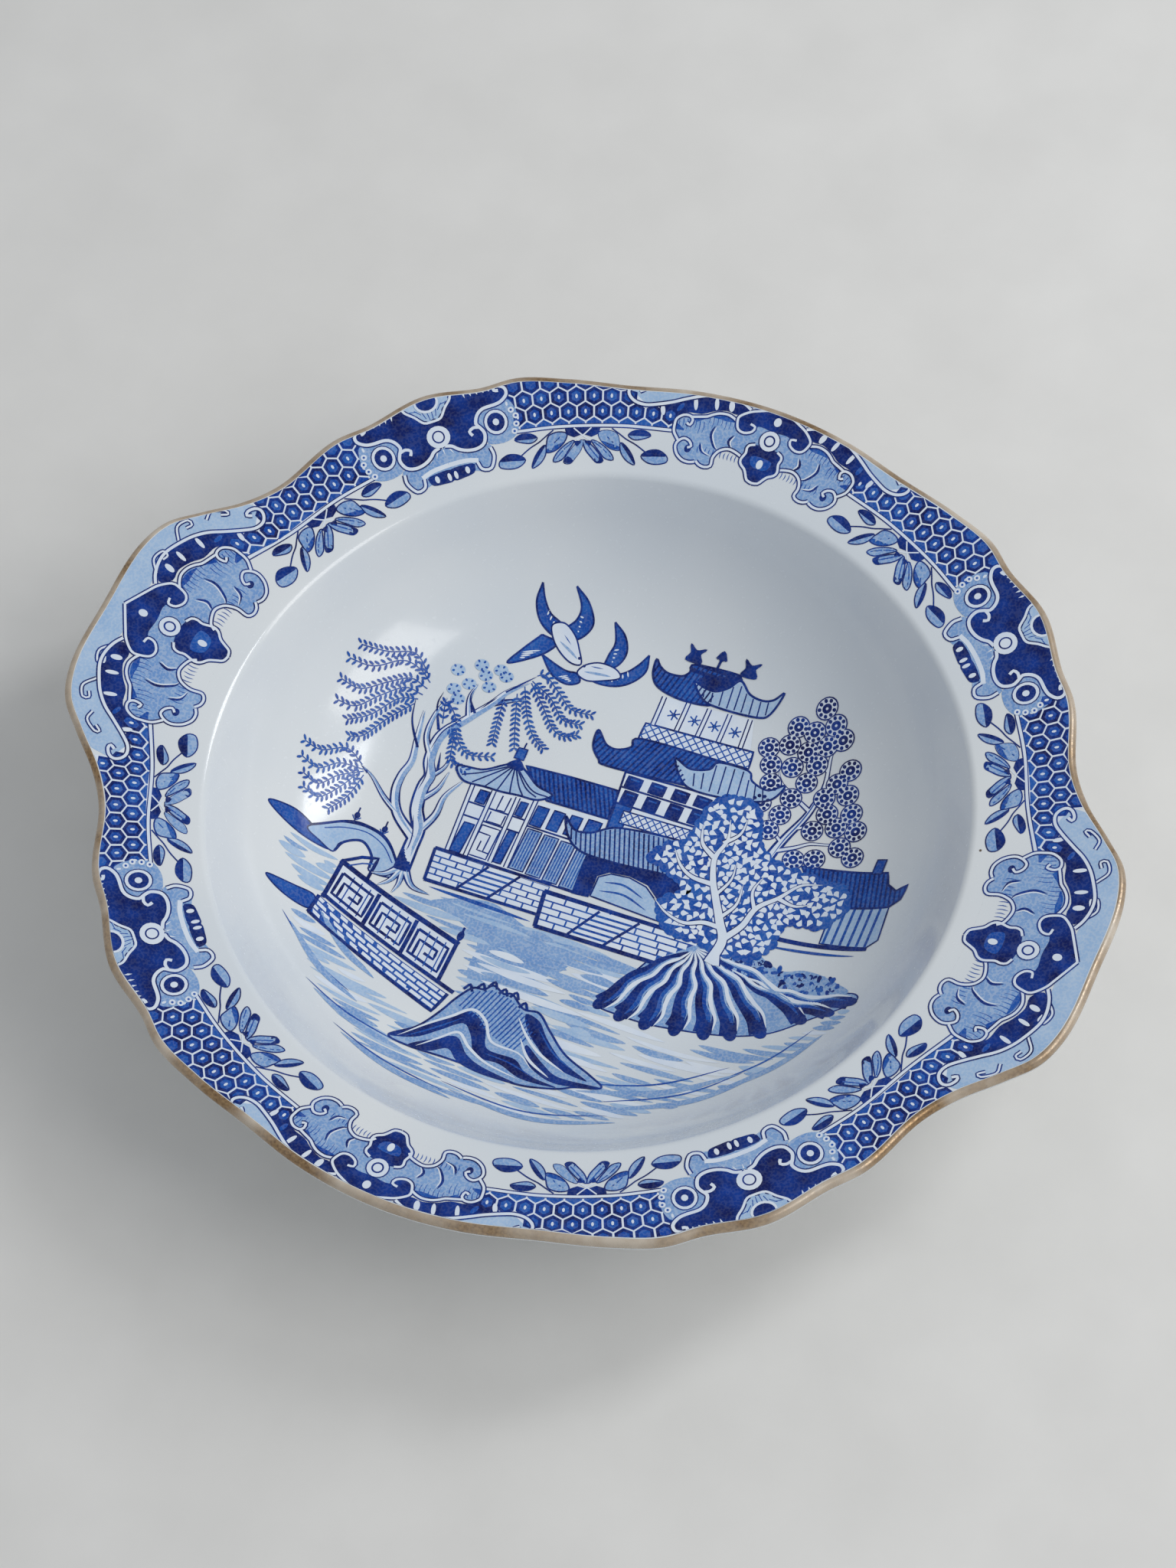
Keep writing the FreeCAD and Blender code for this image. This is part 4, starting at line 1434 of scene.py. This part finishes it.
def drawTerraces():
    view["coat"] = 2
    layBricks([(-38.1, -20.6), (-7.3, -18.9), (-7.3, -10.6), (-39.2, -11.9)], 5, 4.2)
    layBricks([(-6.3, -21.9), (25, -20), (35, -10), (-8, -12.7)], 5, 4.4)
    for flight in ([(-29.4, -20.4), (-20.9, -19.8), (-15.6, -10.9), (-24.2, -11.4)], [(2.3, -21.2),
            (12, -20.6), (18, -11.4), (7.3, -12.2)]):
        view["coat"] = 5
        fill(view, "white", flight, smooth=False)
        view["coat"] = 6
        lines("navy", 0.75, [flight[0], flight[3]], [flight[1], flight[2]], smooth=False)
        lines("cobalt", 0.62, *[[onQuad(flight, 0.04, t),
            onQuad(flight, 0.96, t)] for t in (0.12, 0.3, 0.48, 0.66, 0.84)], smooth=False)
    view["coat"] = 7
    lines("navy", 1.15, [(-8.2, -12.2), (14, -11), (35.9, -9.6)], [(-8, -12.2), (-6.3, -22.4)],
        [(-6.5, -22.3), (10, -21.2), (26, -20.2)], smooth=False)
    lines("navy", 0.85, [(-39.3, -11.5), (-7.3, -10)], [(-39.2, -11.6), (-38, -21)], [(-38.1, -21),
        (-7.3, -19.1)], smooth=False)
    view["coat"] = 1
    lines("cobalt", 1.1, [(-36, -22.4), (-22, -22), (-8, -21.6)], taper="both")
    lines("wash", 1.2, [(-32, -24), (-20, -23.4), (-9, -23.6)], taper="both")


def drawPavilion():
    view["coat"] = 1
    fill(view, "white", [(-38.3, 9), (-1.7, 13), (-1, -10), (-36, -11)], smooth=False)
    view["coat"] = 2
    for door in ([(-35.8, -10.8), (-32.9, -10.7), (-32.7, -1.6), (-35.5, -1.8)], [(-24, -9.6),
            (-21.8, -9.5), (-21.8, 0.6), (-23.8, 0.5)], [(-35.6, 4.6), (-33, 4.7), (-33, 8.6),
            (-35.6, 8.4)], [(-24.4, 5), (-22.4, 5), (-22.4, 9.4), (-24.4, 9.2)], [(-19.8, 3.9), (-16.7, 4),
            (-16.7, 10), (-19.8, 9.8)], [(-15.3, 4.4), (-12.3, 4.5), (-12.3, 10.3), (-15.3, 10.2)],
            [(-10.6, 4.7), (-7.6, 4.8), (-7.6, 10.8), (-10.6, 10.6)], [(-6.1, 5), (-2.4, 5.2), (-2.4, 11.4),
            (-6.1, 11.2)]):
        drawn("cobalt", door, smooth=False)
    for left in (-19.5, -14.8, -10.1, -5.4):
        panel = [(left, -9.6), (left + 3.9, -9.4), (left + 3.9, 2.9), (left, 2.7)]
        drawn("wash", panel, smooth=False)
        view["coat"] = 4
        lines("cobalt", 0.34, *[[(left + d, -9), (left + d, 2.4)] for d in (0.8, 1.55, 2.3, 3.05)],
            smooth=False)
        view["coat"] = 2
    lines("navy", 0.4, [(-30.9, -0.8), (-25.9, -0.6), (-25.9, -9.8), (-30.9, -10), (-30.9, -0.8)],
        [(-30.9, -3), (-27.6, -3), (-27.6, -8), (-29.2, -8), (-29.2, -5.2)], [(-25.9, -8), (-27.6, -8)],
        [(-30.4, 3.6), (-30.4, 0.6), (-26.4, 0.8), (-26.4, 3.8)], [(-29.4, 9), (-29.4, 4.6), (-27.2, 4.8),
        (-27.2, 9.2)], smooth=False)
    view["coat"] = 4
    for post in ([(-38.1, 8.9), (-36.2, -11)], [(-32.2, 9.4), (-31.2, -10.6)], [(-25.6, 10), (-24.6, -10)],
            [(-21, 11.2), (-20.2, -9.9)]):
        pairedLine(post, 0.75, smooth=False)
    lines("navy", 0.5, [(-37.6, 4), (-20.9, 4.6)], [(-37.2, 0), (-20.6, 0.6)], [(-20.4, 3.3), (-1.6, 4.2)],
        [(-36, -11), (-1, -9.8)], smooth=False)
    view["coat"] = 5
    longRoof = [(-27.6, 19.4), (-15, 20.8), (-2.3, 21.8), (-1.7, 13.1), (-10, 12.6), (-18.4, 12),
        (-22.4, 14.4)]
    drawn("cobalt", longRoof, smooth=False, width=0.6)
    view["coat"] = 7
    hatch("navy", longRoof, 118, 1.15, 0.5)
    tent = [(-44, 12.6), (-41, 9.2), (-34.8, 9.6), (-30.3, 9.9), (-25.9, 10.6), (-20.8, 11.2), (-17.8, 14),
        (-22.4, 15), (-26.6, 17.6), (-30, 19.2), (-33.2, 17.2), (-37.6, 14)]
    drawn("pale", tent, width=0.6)
    view["coat"] = 9
    lines("navy", 0.4, *[[(-30.2, 18.6), ((-30.2 + x) / 2 + (x + 30) * 0.08, 13.4), (x, y)] for x,
        y in ((-42, 10.6), (-38.6, 9.6), (-35, 9.7), (-31.6, 9.9), (-28.2, 10.3), (-24.8, 10.9),
        (-21.4, 11.8), (-18.6, 13))])
    fill(view, "navy", [(-32.6, 17.8), (-30, 20.4), (-27.6, 18), (-30, 17)])
    drawn("cobalt", [(-31.5, 20.4), (-28.9, 20.5), (-29.1, 23.8), (-31.5, 23.6)], smooth=False)
    lines("navy", 0.4, [(-30.2, 23.8), (-30.2, 25.6)])


def drawPagoda():
    view["coat"] = 3
    # walls of the three storeys
    fill(view, "white", [(-3, 52), (22, 54), (24.6, 45), (-2.6, 42.8)], smooth=False)
    fill(view, "white", [(-3, 27.6), (22, 30), (22.4, 13), (-0.7, 10)], smooth=False)
    view["coat"] = 4
    for x, y in ((1.7, 48), (7.4, 48.4), (12.9, 48.8), (18.6, 49.1)):
        for turn in (30, 90, 150):
            arm = ray(turn) * 1.7
            lines("cobalt", 0.42, [Vector((x, y)) - arm, Vector((x, y)) + arm])
        disc(view, "navy", x, y, 0.6)
    for post in ([(-2.2, 43.2), (-2.6, 52)], [(4.2, 44), (4, 52.6)], [(9.9, 44.4), (9.8, 53)], [(15.6, 45),
            (15.4, 53.4)], [(21.6, 45.4), (21, 53.8)]):
        pairedLine(post, 0.75, smooth=False)
    rail = [(-4, 38.2), (26, 40.6), (25.3, 45.6), (-4, 43)]
    drawn("white", rail, smooth=False, width=0.6)
    view["coat"] = 5
    hatch("cobalt", rail, 48, 1.7, 0.36)
    hatch("cobalt", rail, -42, 1.7, 0.36)
    for row, tall, wide in ((((0.3, 25.3), (6.7, 25.8), (13, 26.3), (19, 26.8)), 3.2, 4.0), (((0.9, 20.6),
            (7, 21), (13.3, 21.5), (19.3, 22)), 4.0, 3.6)):
        for x, y in row:
            view["coat"] = 5
            drawn("navy", [(x - wide / 2, y - tall / 2), (x + wide / 2, y - tall / 2 + 0.2),
                (x + wide / 2, y + tall / 2 + 0.1), (x - wide / 2, y + tall / 2)], smooth=False)
            view["coat"] = 7
            stroke(view, "cobalt", [(x - wide * 0.3, y + tall * 0.28), (x + wide * 0.3, y + tall * 0.3)], 0.5)
    lines("navy", 0.55, [(-3, 27.6), (22, 29.9)], [(-2.6, 23.2), (22, 24.6)], [(-2.2, 18.4), (22.2, 19.6)],
        [(-3, 27.6), (-0.8, 10)], smooth=False)
    balcony = [(1.4, 13.2), (21.4, 14.6), (21.2, 18.4), (1.2, 16.9)]
    drawn("white", balcony, smooth=False)
    view["coat"] = 8
    hatch("cobalt", balcony, 52, 1.5, 0.32)
    hatch("cobalt", balcony, -44, 1.5, 0.32)
    view["coat"] = 5
    drawn("cobalt", [(-0.9, 9.6), (2.8, 10.6), (2.8, 18.8), (-1.6, 18.2)], smooth=False)

    view["coat"] = 8
    topRoof = [(-8.6, 60.8), (-7.9, 56.6), (-5, 53.8), (1.7, 52.8), (9, 53.8), (10.4, 56), (5, 59.4),
        (14.3, 63.6), (1.7, 62.9), (1, 60.6), (-0.6, 58.9), (-4.4, 58.4), (-7, 59.4)]
    drawn("cobalt", topRoof, width=0.6)
    fill(view, "navy", [(1, 62.6), (14.4, 63.6), (12.6, 60), (9, 58), (4.4, 58.8), (1.6, 60.6)])
    view["coat"] = 9
    gable = [(3, 58.7), (7, 54.9), (11.7, 54.1), (22.3, 54.8), (25.4, 56.6), (27, 62.6), (25, 60.4),
        (22.3, 59.4), (18.3, 60), (14.7, 62.6), (12.4, 60), (9.4, 58), (6, 58)]
    drawn("pale", gable, width=0.6)
    view["coat"] = 11
    lines("navy", 0.36, *[[(x, y), (x + 0.5, y2)] for x, y, y2 in ((6.4, 57.4, 55.4), (8.8, 57.4, 54.8),
        (11.2, 58.6, 54.6), (13.4, 60.6, 54.6), (15.4, 61.4, 54.8), (17.4, 60, 54.8), (19.6, 59.2, 54.9),
        (21.8, 59, 55.1), (23.8, 59.4, 56))])
    hatch("navy", topRoof, 76, 1.3, 0.45)
    for x, y in ((0.6, 65), (16, 65.6)):
        drawn("navy", [(x - 2, y - 1.6), (x + 2.2, y - 1.4), (x + 1.2, y + 0.6), (x + 2.4, y + 2.2),
            (x, y + 1.2), (x - 2, y + 2.4), (x - 1.2, y + 0.4)])
    lines("navy", 0.7, [(7.4, 63), (7.7, 66.4)], [(6.4, 66), (7.7, 68), (9, 66)])
    disc(view, "navy", 7.7, 66.6, 1.0)

    view["coat"] = 8
    secondRoof = [(-14.6, 36.4), (-14, 31.6), (-11, 28.4), (-8.3, 27.4), (9, 29.4), (13, 30.4),
        (10.4, 33.4), (7.3, 36), (12, 34.8), (17, 36.6), (18.4, 39.6), (-3.1, 38.2), (-4.6, 35),
        (-7.7, 32.9), (-11, 33.2)]
    drawn("cobalt", secondRoof, width=0.6)
    view["coat"] = 9
    lowGable = [(7.3, 36.2), (13, 29.8), (23, 30.1), (31.6, 32.4), (35.4, 35), (36.8, 39.4), (33, 36.6),
        (28.3, 37.6), (26.3, 40), (18.3, 39.4), (16.8, 36.6), (12, 34.8)]
    drawn("pale", lowGable, width=0.6)
    view["coat"] = 11
    hatch("navy", secondRoof, 70, 1.3, 0.5)
    lines("navy", 0.36, *[[(x, y), (x + 1.2, y2)] for x, y, y2 in ((13.6, 34, 30.4), (15.8, 35, 30.4),
        (18, 38.4, 30.5), (20.4, 39, 30.7), (22.8, 39.2, 31), (25.2, 39.4, 31.3), (27.4, 37.6, 31.9),
        (29.6, 36.8, 32.6), (31.8, 36.4, 33.4))])

    view["coat"] = 8
    lowRoof = [(-12, 9.8), (-8.4, 7), (-4, 7.8), (2.7, 12), (20.6, 14.4), (22.6, 9.8), (24.6, 5.2),
        (15, 3.5), (5, 2.1), (-4, 1.8), (-9, 4.6)]
    drawn("wash", lowRoof, width=0.6)
    view["coat"] = 10
    hatch("navy", lowRoof, 112, 1.25, 0.42)
    view["coat"] = 6
    drawn("navy", [(-2.4, 1.5), (24.2, 4), (25.2, -5), (23.4, -8.4), (19.8, -3.4), (15.7, -0.4),
        (10.3, 0.2), (5, -0.8), (2.4, -3), (2.8, -9.4), (-1.4, -10)], smooth=False)
    drawn("pale", [(3.2, -9), (3, -3.2), (5.6, -1.2), (10.4, -0.4), (15.4, -1.2), (19.4, -4), (22.6, -9)],
        smooth=False)
    view["coat"] = 8
    lines("cobalt", 0.6, [(5, -4), (10, -3), (16, -4.6)], [(4.6, -6.8), (11, -5.6), (18, -7.4)], taper="both")


def rosette(x, y):
    # one round blossom: light disc, ring of dark dots and a dark eye
    disc(view, "navy", x, y, 2.95)
    view["coat"] += 1
    disc(view, "white", x, y, 2.6)
    for k in range(9):
        turn = 2 * math.pi * k / 9
        blossomDots.append((x + 2 * math.cos(turn), y + 2 * math.sin(turn), math.degrees(turn), 0.6, 0.56))
    view["coat"] += 1
    disc(view, "navy", x, y, 1.25)
    view["coat"] += 1
    disc(view, "white", x, y, 0.36)
    view["coat"] -= 3


def drawFruitTree():
    for path, width in (([(40.6, 17), (41.6, 22), (43, 26.7), (45, 32), (46, 36), (46.7, 42), (45.3, 50),
            (45.6, 56)], 2.0), ([(45.3, 34.7), (40.3, 37.3), (35.6, 40), (33, 44)], 1.1), ([(41.4, 21),
            (46.3, 24), (49.3, 26), (55, 27.3), (59, 29)], 1.1), ([(46, 38), (49, 41), (51, 45)], 1.0),
            ([(44, 29), (49, 31.4), (52, 34)], 0.9), ([(42, 24), (38, 27), (35.6, 31)], 0.9), ([(46, 46),
            (42, 49), (39, 52)], 0.8)):
        view["coat"] = 4
        stroke(view, "navy", path, width * 1.45, "end")
        view["coat"] = 5
        stroke(view, "white", path, width * 0.75, "end")
    view["coat"] = 6
    lines("cobalt", 0.4, [(41.4, 19), (42.6, 25), (44.6, 31), (45.8, 36), (46.4, 42)], taper="both")
    view["coat"] = 7
    for x, y in ((39.5, 61.3), (43.5, 57.7), (38.7, 55), (46.8, 54.5), (43.3, 52.3), (39, 49.8),
            (33.6, 50.4), (28.7, 48.1), (42.6, 47), (31, 43.8), (36.6, 44.8), (51.7, 47.4), (49.6, 43.4),
            (41.8, 41.8), (33, 38.9), (39.6, 36.6), (47.9, 39), (50.3, 35), (32.7, 32.7), (38.8, 31.2),
            (56.5, 36.4), (54, 32), (59.4, 32), (48.4, 29.6), (37.6, 26), (57, 27), (61.4, 25), (52, 22.2),
            (47, 20.4), (53.6, 41), (34, 55.4)):
        rosette(x, y)


def drawLeafyTree():
    dice = random.Random(scene["seed"] + 1)
    view["coat"] = 11
    crown = [(22.3, 27), (26, 31), (31.7, 30.7), (35, 25), (37, 20.7), (44, 17), (54, 16.6), (63.7, 14.7),
        (64, 9), (59.7, 4.7), (51.7, 2.7), (51, -4), (49, -8.4), (41.7, -10.7), (33, -10), (24.3, -9),
        (21, -4), (25, 2), (20, 5.4), (13.7, 7.4), (16, 12), (20.6, 15), (21, 21)]
    fill(view, "cobalt", crown)
    for p in smoothPath(crown, True, 2.6):
        disc(view, "cobalt", p.x, p.y, dice.uniform(1.2, 2.1))
    tries = 0
    while len(fanLeaves) < scene["fanLeaves"] and tries < scene["fanTries"]:
        tries += 1
        x, y = dice.uniform(13, 65), dice.uniform(-11, 31)
        if insideOf(crown, x, y) and all(math.hypot(x - l[0],
                y - l[1]) > scene["fanPitch"] for l in fanLeaves):
            fanLeaves.append((x, y, dice.uniform(0, 360), 1.12, 0.95))
    view["coat"] = 13
    for path, width in (([(38.6, -15), (39.3, -8), (36.7, -3.3), (33, 2.7), (30.3, 7.3), (28.3, 13.3),
            (29.3, 19.3), (27.7, 25)], 2.0), ([(27.9, 13.3), (23.7, 16), (21.7, 21)], 1.0), ([(30.3, 6),
            (25, 6), (21, 8), (17.6, 12)], 1.0), ([(39.5, -7), (42.3, -2), (43.7, 4), (47.7, 8.7),
            (51.7, 14), (57, 15.9)], 1.3), ([(47.4, 8.7), (52.3, 8), (56, 9.5)], 0.9), ([(38.2, -4.7),
            (33, -4.9), (28.3, -6.9), (23, -6), (18.6, -3.4)], 1.0), ([(40.6, -15), (39.6, -11), (40, -8)],
            1.2), ([(28.6, 18), (31.6, 22), (31.8, 27)], 0.8), ([(36, -2.4), (38.6, 3), (38, 9)], 0.8),
            ([(43.6, 3), (41, 8), (42, 13)], 0.8), ([(32.6, 3.4), (34.6, 9), (34, 14)], 0.7)):
        pairedLine(path, width * 1.3, "end")


def drawHut():
    view["coat"] = 5
    drawn("pale", [(62, 10.6), (76.4, 12.4), (77.3, 2.7), (75, 0.3), (62.7, -0.2)], smooth=False)
    view["coat"] = 7
    lines("cobalt", 0.7, *[[(x, -0.2 + (x - 62) * 0.05), (x - 0.2,
        10.4 + (x - 62) * 0.12)] for x in (63.6, 65.8, 68, 70.2, 72.4, 74.6)], smooth=False)
    roof = [(49.7, 19.5), (60, 20.8), (72.3, 22), (73.7, 18.7), (76.4, 17), (79, 18.6), (78.6, 14.6),
        (76.3, 12.4), (61.7, 10.5), (56, 13)]
    drawn("cobalt", roof, width=0.6, smooth=False)
    view["coat"] = 9
    hatch("navy", roof, 104, 1.2, 0.5)
    drawn("cobalt", [(68.3, 21.3), (70.7, 21.6), (70.7, 25.5), (68.3, 25.3)], smooth=False)
    view["coat"] = 6
    lines("navy", 1.2, [(50, -2.2), (62, -1.2), (75.4, 0)])
    lines("cobalt", 0.8, [(49, -5), (60, -3.6), (73, -2.4)], taper="both")


def ridge(apex, tip, width, bend):
    # one lumpy fold of rock: a dark lobe with a light crest beside it
    a, b = Vector(apex), Vector(tip)
    across = Vector((-(b - a).y, (b - a).x)).normalized()

    def along(first, last, offset, sway):
        shares = [first + (last - first) * k / 7 for k in range(8)]
        return [a.lerp(b, t) + across * (bend * math.sin(math.pi * t) + offset * t ** 0.5
                                         + sway * math.sin(t * 17)) for t in shares]
    stroke(view, "navy", along(0.05, 1, 0, 0.35), width, "start")
    disc(view, "navy", b.x, b.y, width * 0.5, width * 0.36, bearing(b.x - a.x, b.y - a.y))
    view["coat"] += 1
    stroke(view, "cobalt", along(0.3, 0.98, width * 0.2, 0.35), width * 0.3, "both")
    stroke(view, "white", along(0.02, 1, width * 0.56, 0.5), 1.25, "both")
    view["coat"] += 1
    stroke(view, "wash", along(0.12, 0.9, width * 0.36, 0.5), 0.5, "both")
    view["coat"] -= 2


def drawRocks():
    view["coat"] = 2
    mound = [(28, -12), (36, -11), (46, -12), (54, -17), (64, -17.6), (76, -13.8), (79, -16.6), (70, -22.6),
        (62, -28.6), (55, -31.6), (48, -33.4), (40, -35), (31, -36.6), (24, -37), (17.4, -36.4),
        (19.6, -30), (23.4, -22), (26, -16)]
    drawn("wash", mound)
    view["coat"] = 4
    for tip, width, bend in (((17.9, -35.8), 4.2, -1.6), ((24, -36.6), 4.6, -1), ((30.6, -36.2), 4.8, -0.4),
            ((38, -35), 4.8, 0.4), ((45.2, -33.6), 4.8, 1), ((51.6, -32), 4.6, 1.8), ((58.6, -29.4), 4.6,
            2.6), ((67, -23.4), 4.2, 3.2)):
        ridge((33.4, -12.8), tip, width, bend)
    ridge((48, -15.4), (77.6, -16.6), 4.0, -1.6)
    ridge((44, -14.6), (73.4, -20.4), 3.6, -1.2)
    view["coat"] = 3
    dice = random.Random(scene["seed"] + 2)
    fill(view, "wash", [(41, -13), (44, -8.6), (48, -7.4), (52, -9), (57, -10.4), (62, -8.8), (67, -9.2),
        (72, -11), (76, -13.6), (70, -17), (60, -18), (50, -16)])
    view["coat"] = 4
    for x1, x2, y1, y2 in ((42, 53, -15, -8.6), (55, 73, -15.4, -9.8)):
        for _ in range(64):
            x, y = dice.uniform(x1, x2), dice.uniform(y1, y2)
            disc(view, dice.choice(("navy", "cobalt", "wash")), x, y, dice.uniform(0.6, 1.3),
                dice.uniform(0.4, 0.8), dice.uniform(0, 180))
    view["coat"] = 6
    front = [(-25.8, -66.9), (-21.2, -60.8), (-18, -53.6), (-16.2, -48.8), (-13.5, -44.4), (-10.6, -43.6),
        (-8.8, -41.7), (-5.4, -42.9), (-3.5, -42.1), (0.8, -44.8), (5, -44.4), (9.6, -48), (15.8, -52.6),
        (24.2, -56), (28.4, -58.6), (22, -61), (18.1, -63.3), (9, -66), (-1.2, -65.8), (-11, -66.4),
        (-20.4, -67.6)]
    drawn("wash", front, width=0.6)
    view["coat"] = 8
    hatch("cobalt", [(-15.4, -50), (-13, -45.4), (-8.6, -43), (-3.2, -43.6), (1.2, -46), (7, -50.4),
        (3, -57), (-6, -54)], 72, 1.1, 0.4)
    for band, ink in (([(-25.8, -66.9), (-21.2, -60.6), (-16.5, -55.2), (-11.2, -50.6), (-5.8, -53.6),
            (-2.7, -59), (5, -59), (9.6, -62), (18.1, -62.9), (9, -64), (2, -62), (-4.4, -62.4),
            (-8.2, -57), (-11.4, -54.6), (-15.6, -59), (-20, -64)], "navy"), ([(-20.4, -67.3),
            (-16.5, -62.9), (-11.2, -59), (-6.5, -62.9), (-1.2, -64.8), (8.8, -66), (-1, -67), (-7.6, -66),
            (-11.4, -63.4), (-15.4, -66.6)], "navy"), ([(1.9, -45.8), (6, -46.4), (9.6, -50), (15.8, -54.6),
            (24.2, -58), (15, -57), (8, -53), (4, -49.6)], "navy"), ([(5.8, -53.8), (11.9, -57.4),
            (17.3, -59.6), (28.1, -58.7), (18, -61.8), (11, -60.4), (7, -57.4)], "navy")):
        fill(view, ink, band)
    view["coat"] = 10
    lines("white", 0.8, [(-24, -66), (-19.6, -59.2), (-15, -54), (-11, -50), (-6.6, -51.6), (-2.6, -56.6),
        (5, -57), (10, -60.2)], [(-18.6, -66.6), (-14.8, -61.4), (-11.2, -57.6), (-7, -60.6), (-1, -63.2),
        (8, -64.4)], [(0.6, -47.4), (4.6, -51.4), (10, -55), (18, -57.8)], [(3.4, -52.6), (8, -57.6),
        (15, -60.8)], taper="both")
    lines("cobalt", 0.5, [(-22.6, -65.4), (-17.6, -59.6), (-12, -53)], [(-3, -60.6), (4, -60.6),
        (12, -62.4)], [(6.6, -48.4), (13, -53.4), (20, -56.4)], taper="both")
    for x, y in ((-14.4, -44.6), (-11.4, -43.2), (-8.8, -41.6), (-5.6, -42.4), (-2.6, -42.2), (0.6, -44)):
        lines("navy", 0.7, [(x - 1.1, y - 0.9), (x, y + 0.9), (x + 1.2, y - 0.8)])


def drawScene():
    for draw in (drawWater, drawBridge, drawWillow, drawBirds, drawFence, drawTerraces, drawPavilion,
            drawPagoda, drawFruitTree, drawHut, drawLeafyTree, drawRocks):
        draw()
    inkPieces(view, "scene", "center_ink", "center_print")
    oblong = [(-1, -1), (1, -1), (1, 1), (-1, 1)]
    fan = [(-0.9, 0)] + [(math.cos(a), math.sin(a)) for a in (-1.1, -0.7, -0.25, 0.25, 0.7, 1.1)]
    stampPiece("sceneLeaflets", ovalOutline(), leaflets, "cobalt", "center_ink", 7.9)
    stampPiece("sceneBricks", oblong, bricks, "white", "center_ink", 3.5)
    stampPiece("sceneBlossomDots", ovalOutline(6), blossomDots, "navy", "center_ink", 9.8)
    stampPiece("sceneFanLeaves", fan, fanLeaves, "white", "center_ink", 12.5)


drawScene()

print("stage: floor, light and camera")
studio = {
    "floor": srgb(226, 224, 220),
    "floorShade": srgb(220, 218, 214),
    "floorHalf": 3.0,
    "floorRoughness": 0.75,
    "skyColor": (0.88, 0.92, 0.97, 1),
    "skyStrength": 0.52,
    "aim": (0, 0, 0.03),                   # where the lamps point; then place, width, height, power, color
    "windowLight": ((0.62, 0.66, 0.92), 0.26, 0.6, 4.5, (0.96, 0.98, 1.0)),
    "sideLight": ((1.3, 0.1, 1.3), 0.9, 0.9, 9, (1.0, 0.99, 0.97)),
}
shot = {
    "lens": 96.91,
    "sensor": 36.0,
    "away": 1.0453,                        # metres from what it looks at
    "turned": -61.28,                      # degrees round the bowl, up from the table, and of roll
    "raised": 60.83,
    "roll": -5.37,
    "aim": (0.39, 0.57),                   # millimetres on plan, at the height of the flange's edge
}


def makeFloor():
    half = studio["floorHalf"]
    material, tree, shader, vector = startMaterial("paleFloor", Roughness=studio["floorRoughness"])
    grain = spread(tree, noiseOn(tree, vector, 30.0, 4.0), 0.3, 0.7)
    color = blendColor(tree, grain, studio["floor"], studio["floorShade"])
    tree.links.new(color, shader.inputs["Base Color"])
    corners = [(-half, -half, 0), (half, -half, 0), (half, half, 0), (-half, half, 0)]
    piece = addObject("studioFloor", newMesh("studioFloor", corners, [(0, 1, 2, 3)], material))


def addArea(name):
    place, width, height, power, color = studio[name]
    data = bpy.data.lights.new(name, "AREA")
    data.shape = "RECTANGLE"
    data.size = width
    data.size_y = height
    data.energy = power
    data.color = color
    lamp = bpy.data.objects.new(name, data)
    bpy.context.scene.collection.objects.link(lamp)
    lamp.location = place
    lamp.rotation_euler = (Vector(studio["aim"]) - Vector(place)).to_track_quat("-Z", "Y").to_euler()


def makeLights():
    world = bpy.data.worlds.new("studio")
    bpy.context.scene.world = world
    world.use_nodes = True
    world.node_tree.nodes["Background"].inputs["Color"].default_value = studio["skyColor"]
    world.node_tree.nodes["Background"].inputs["Strength"].default_value = studio["skyStrength"]
    addArea("windowLight")
    addArea("sideLight")


def makeCamera():
    data = bpy.data.cameras.new("bowlCamera")
    data.sensor_fit = "VERTICAL"
    data.sensor_height = shot["sensor"]
    data.sensor_width = shot["sensor"]
    data.lens = shot["lens"]
    camera = bpy.data.objects.new("bowlCamera", data)
    bpy.context.scene.collection.objects.link(camera)
    turned, raised, roll = (math.radians(shot[label]) for label in ("turned", "raised", "roll"))
    target = Vector((*shot["aim"], shoulderHeight + bowl["flangeDrop"])) * mm
    away = Vector((math.cos(raised) * math.cos(turned), math.cos(raised) * math.sin(turned),
        math.sin(raised)))
    camera.location = target + away * shot["away"]
    look = (-away).to_track_quat("-Z", "Y")
    camera.rotation_mode = "QUATERNION"
    camera.rotation_quaternion = look @ Quaternion((0, 0, 1), roll)
    bpy.context.scene.camera = camera


makeFloor()
makeLights()
makeCamera()
bpy.context.scene.view_settings.view_transform = "Standard"

print("stage: size")
bpy.context.view_layer.update()
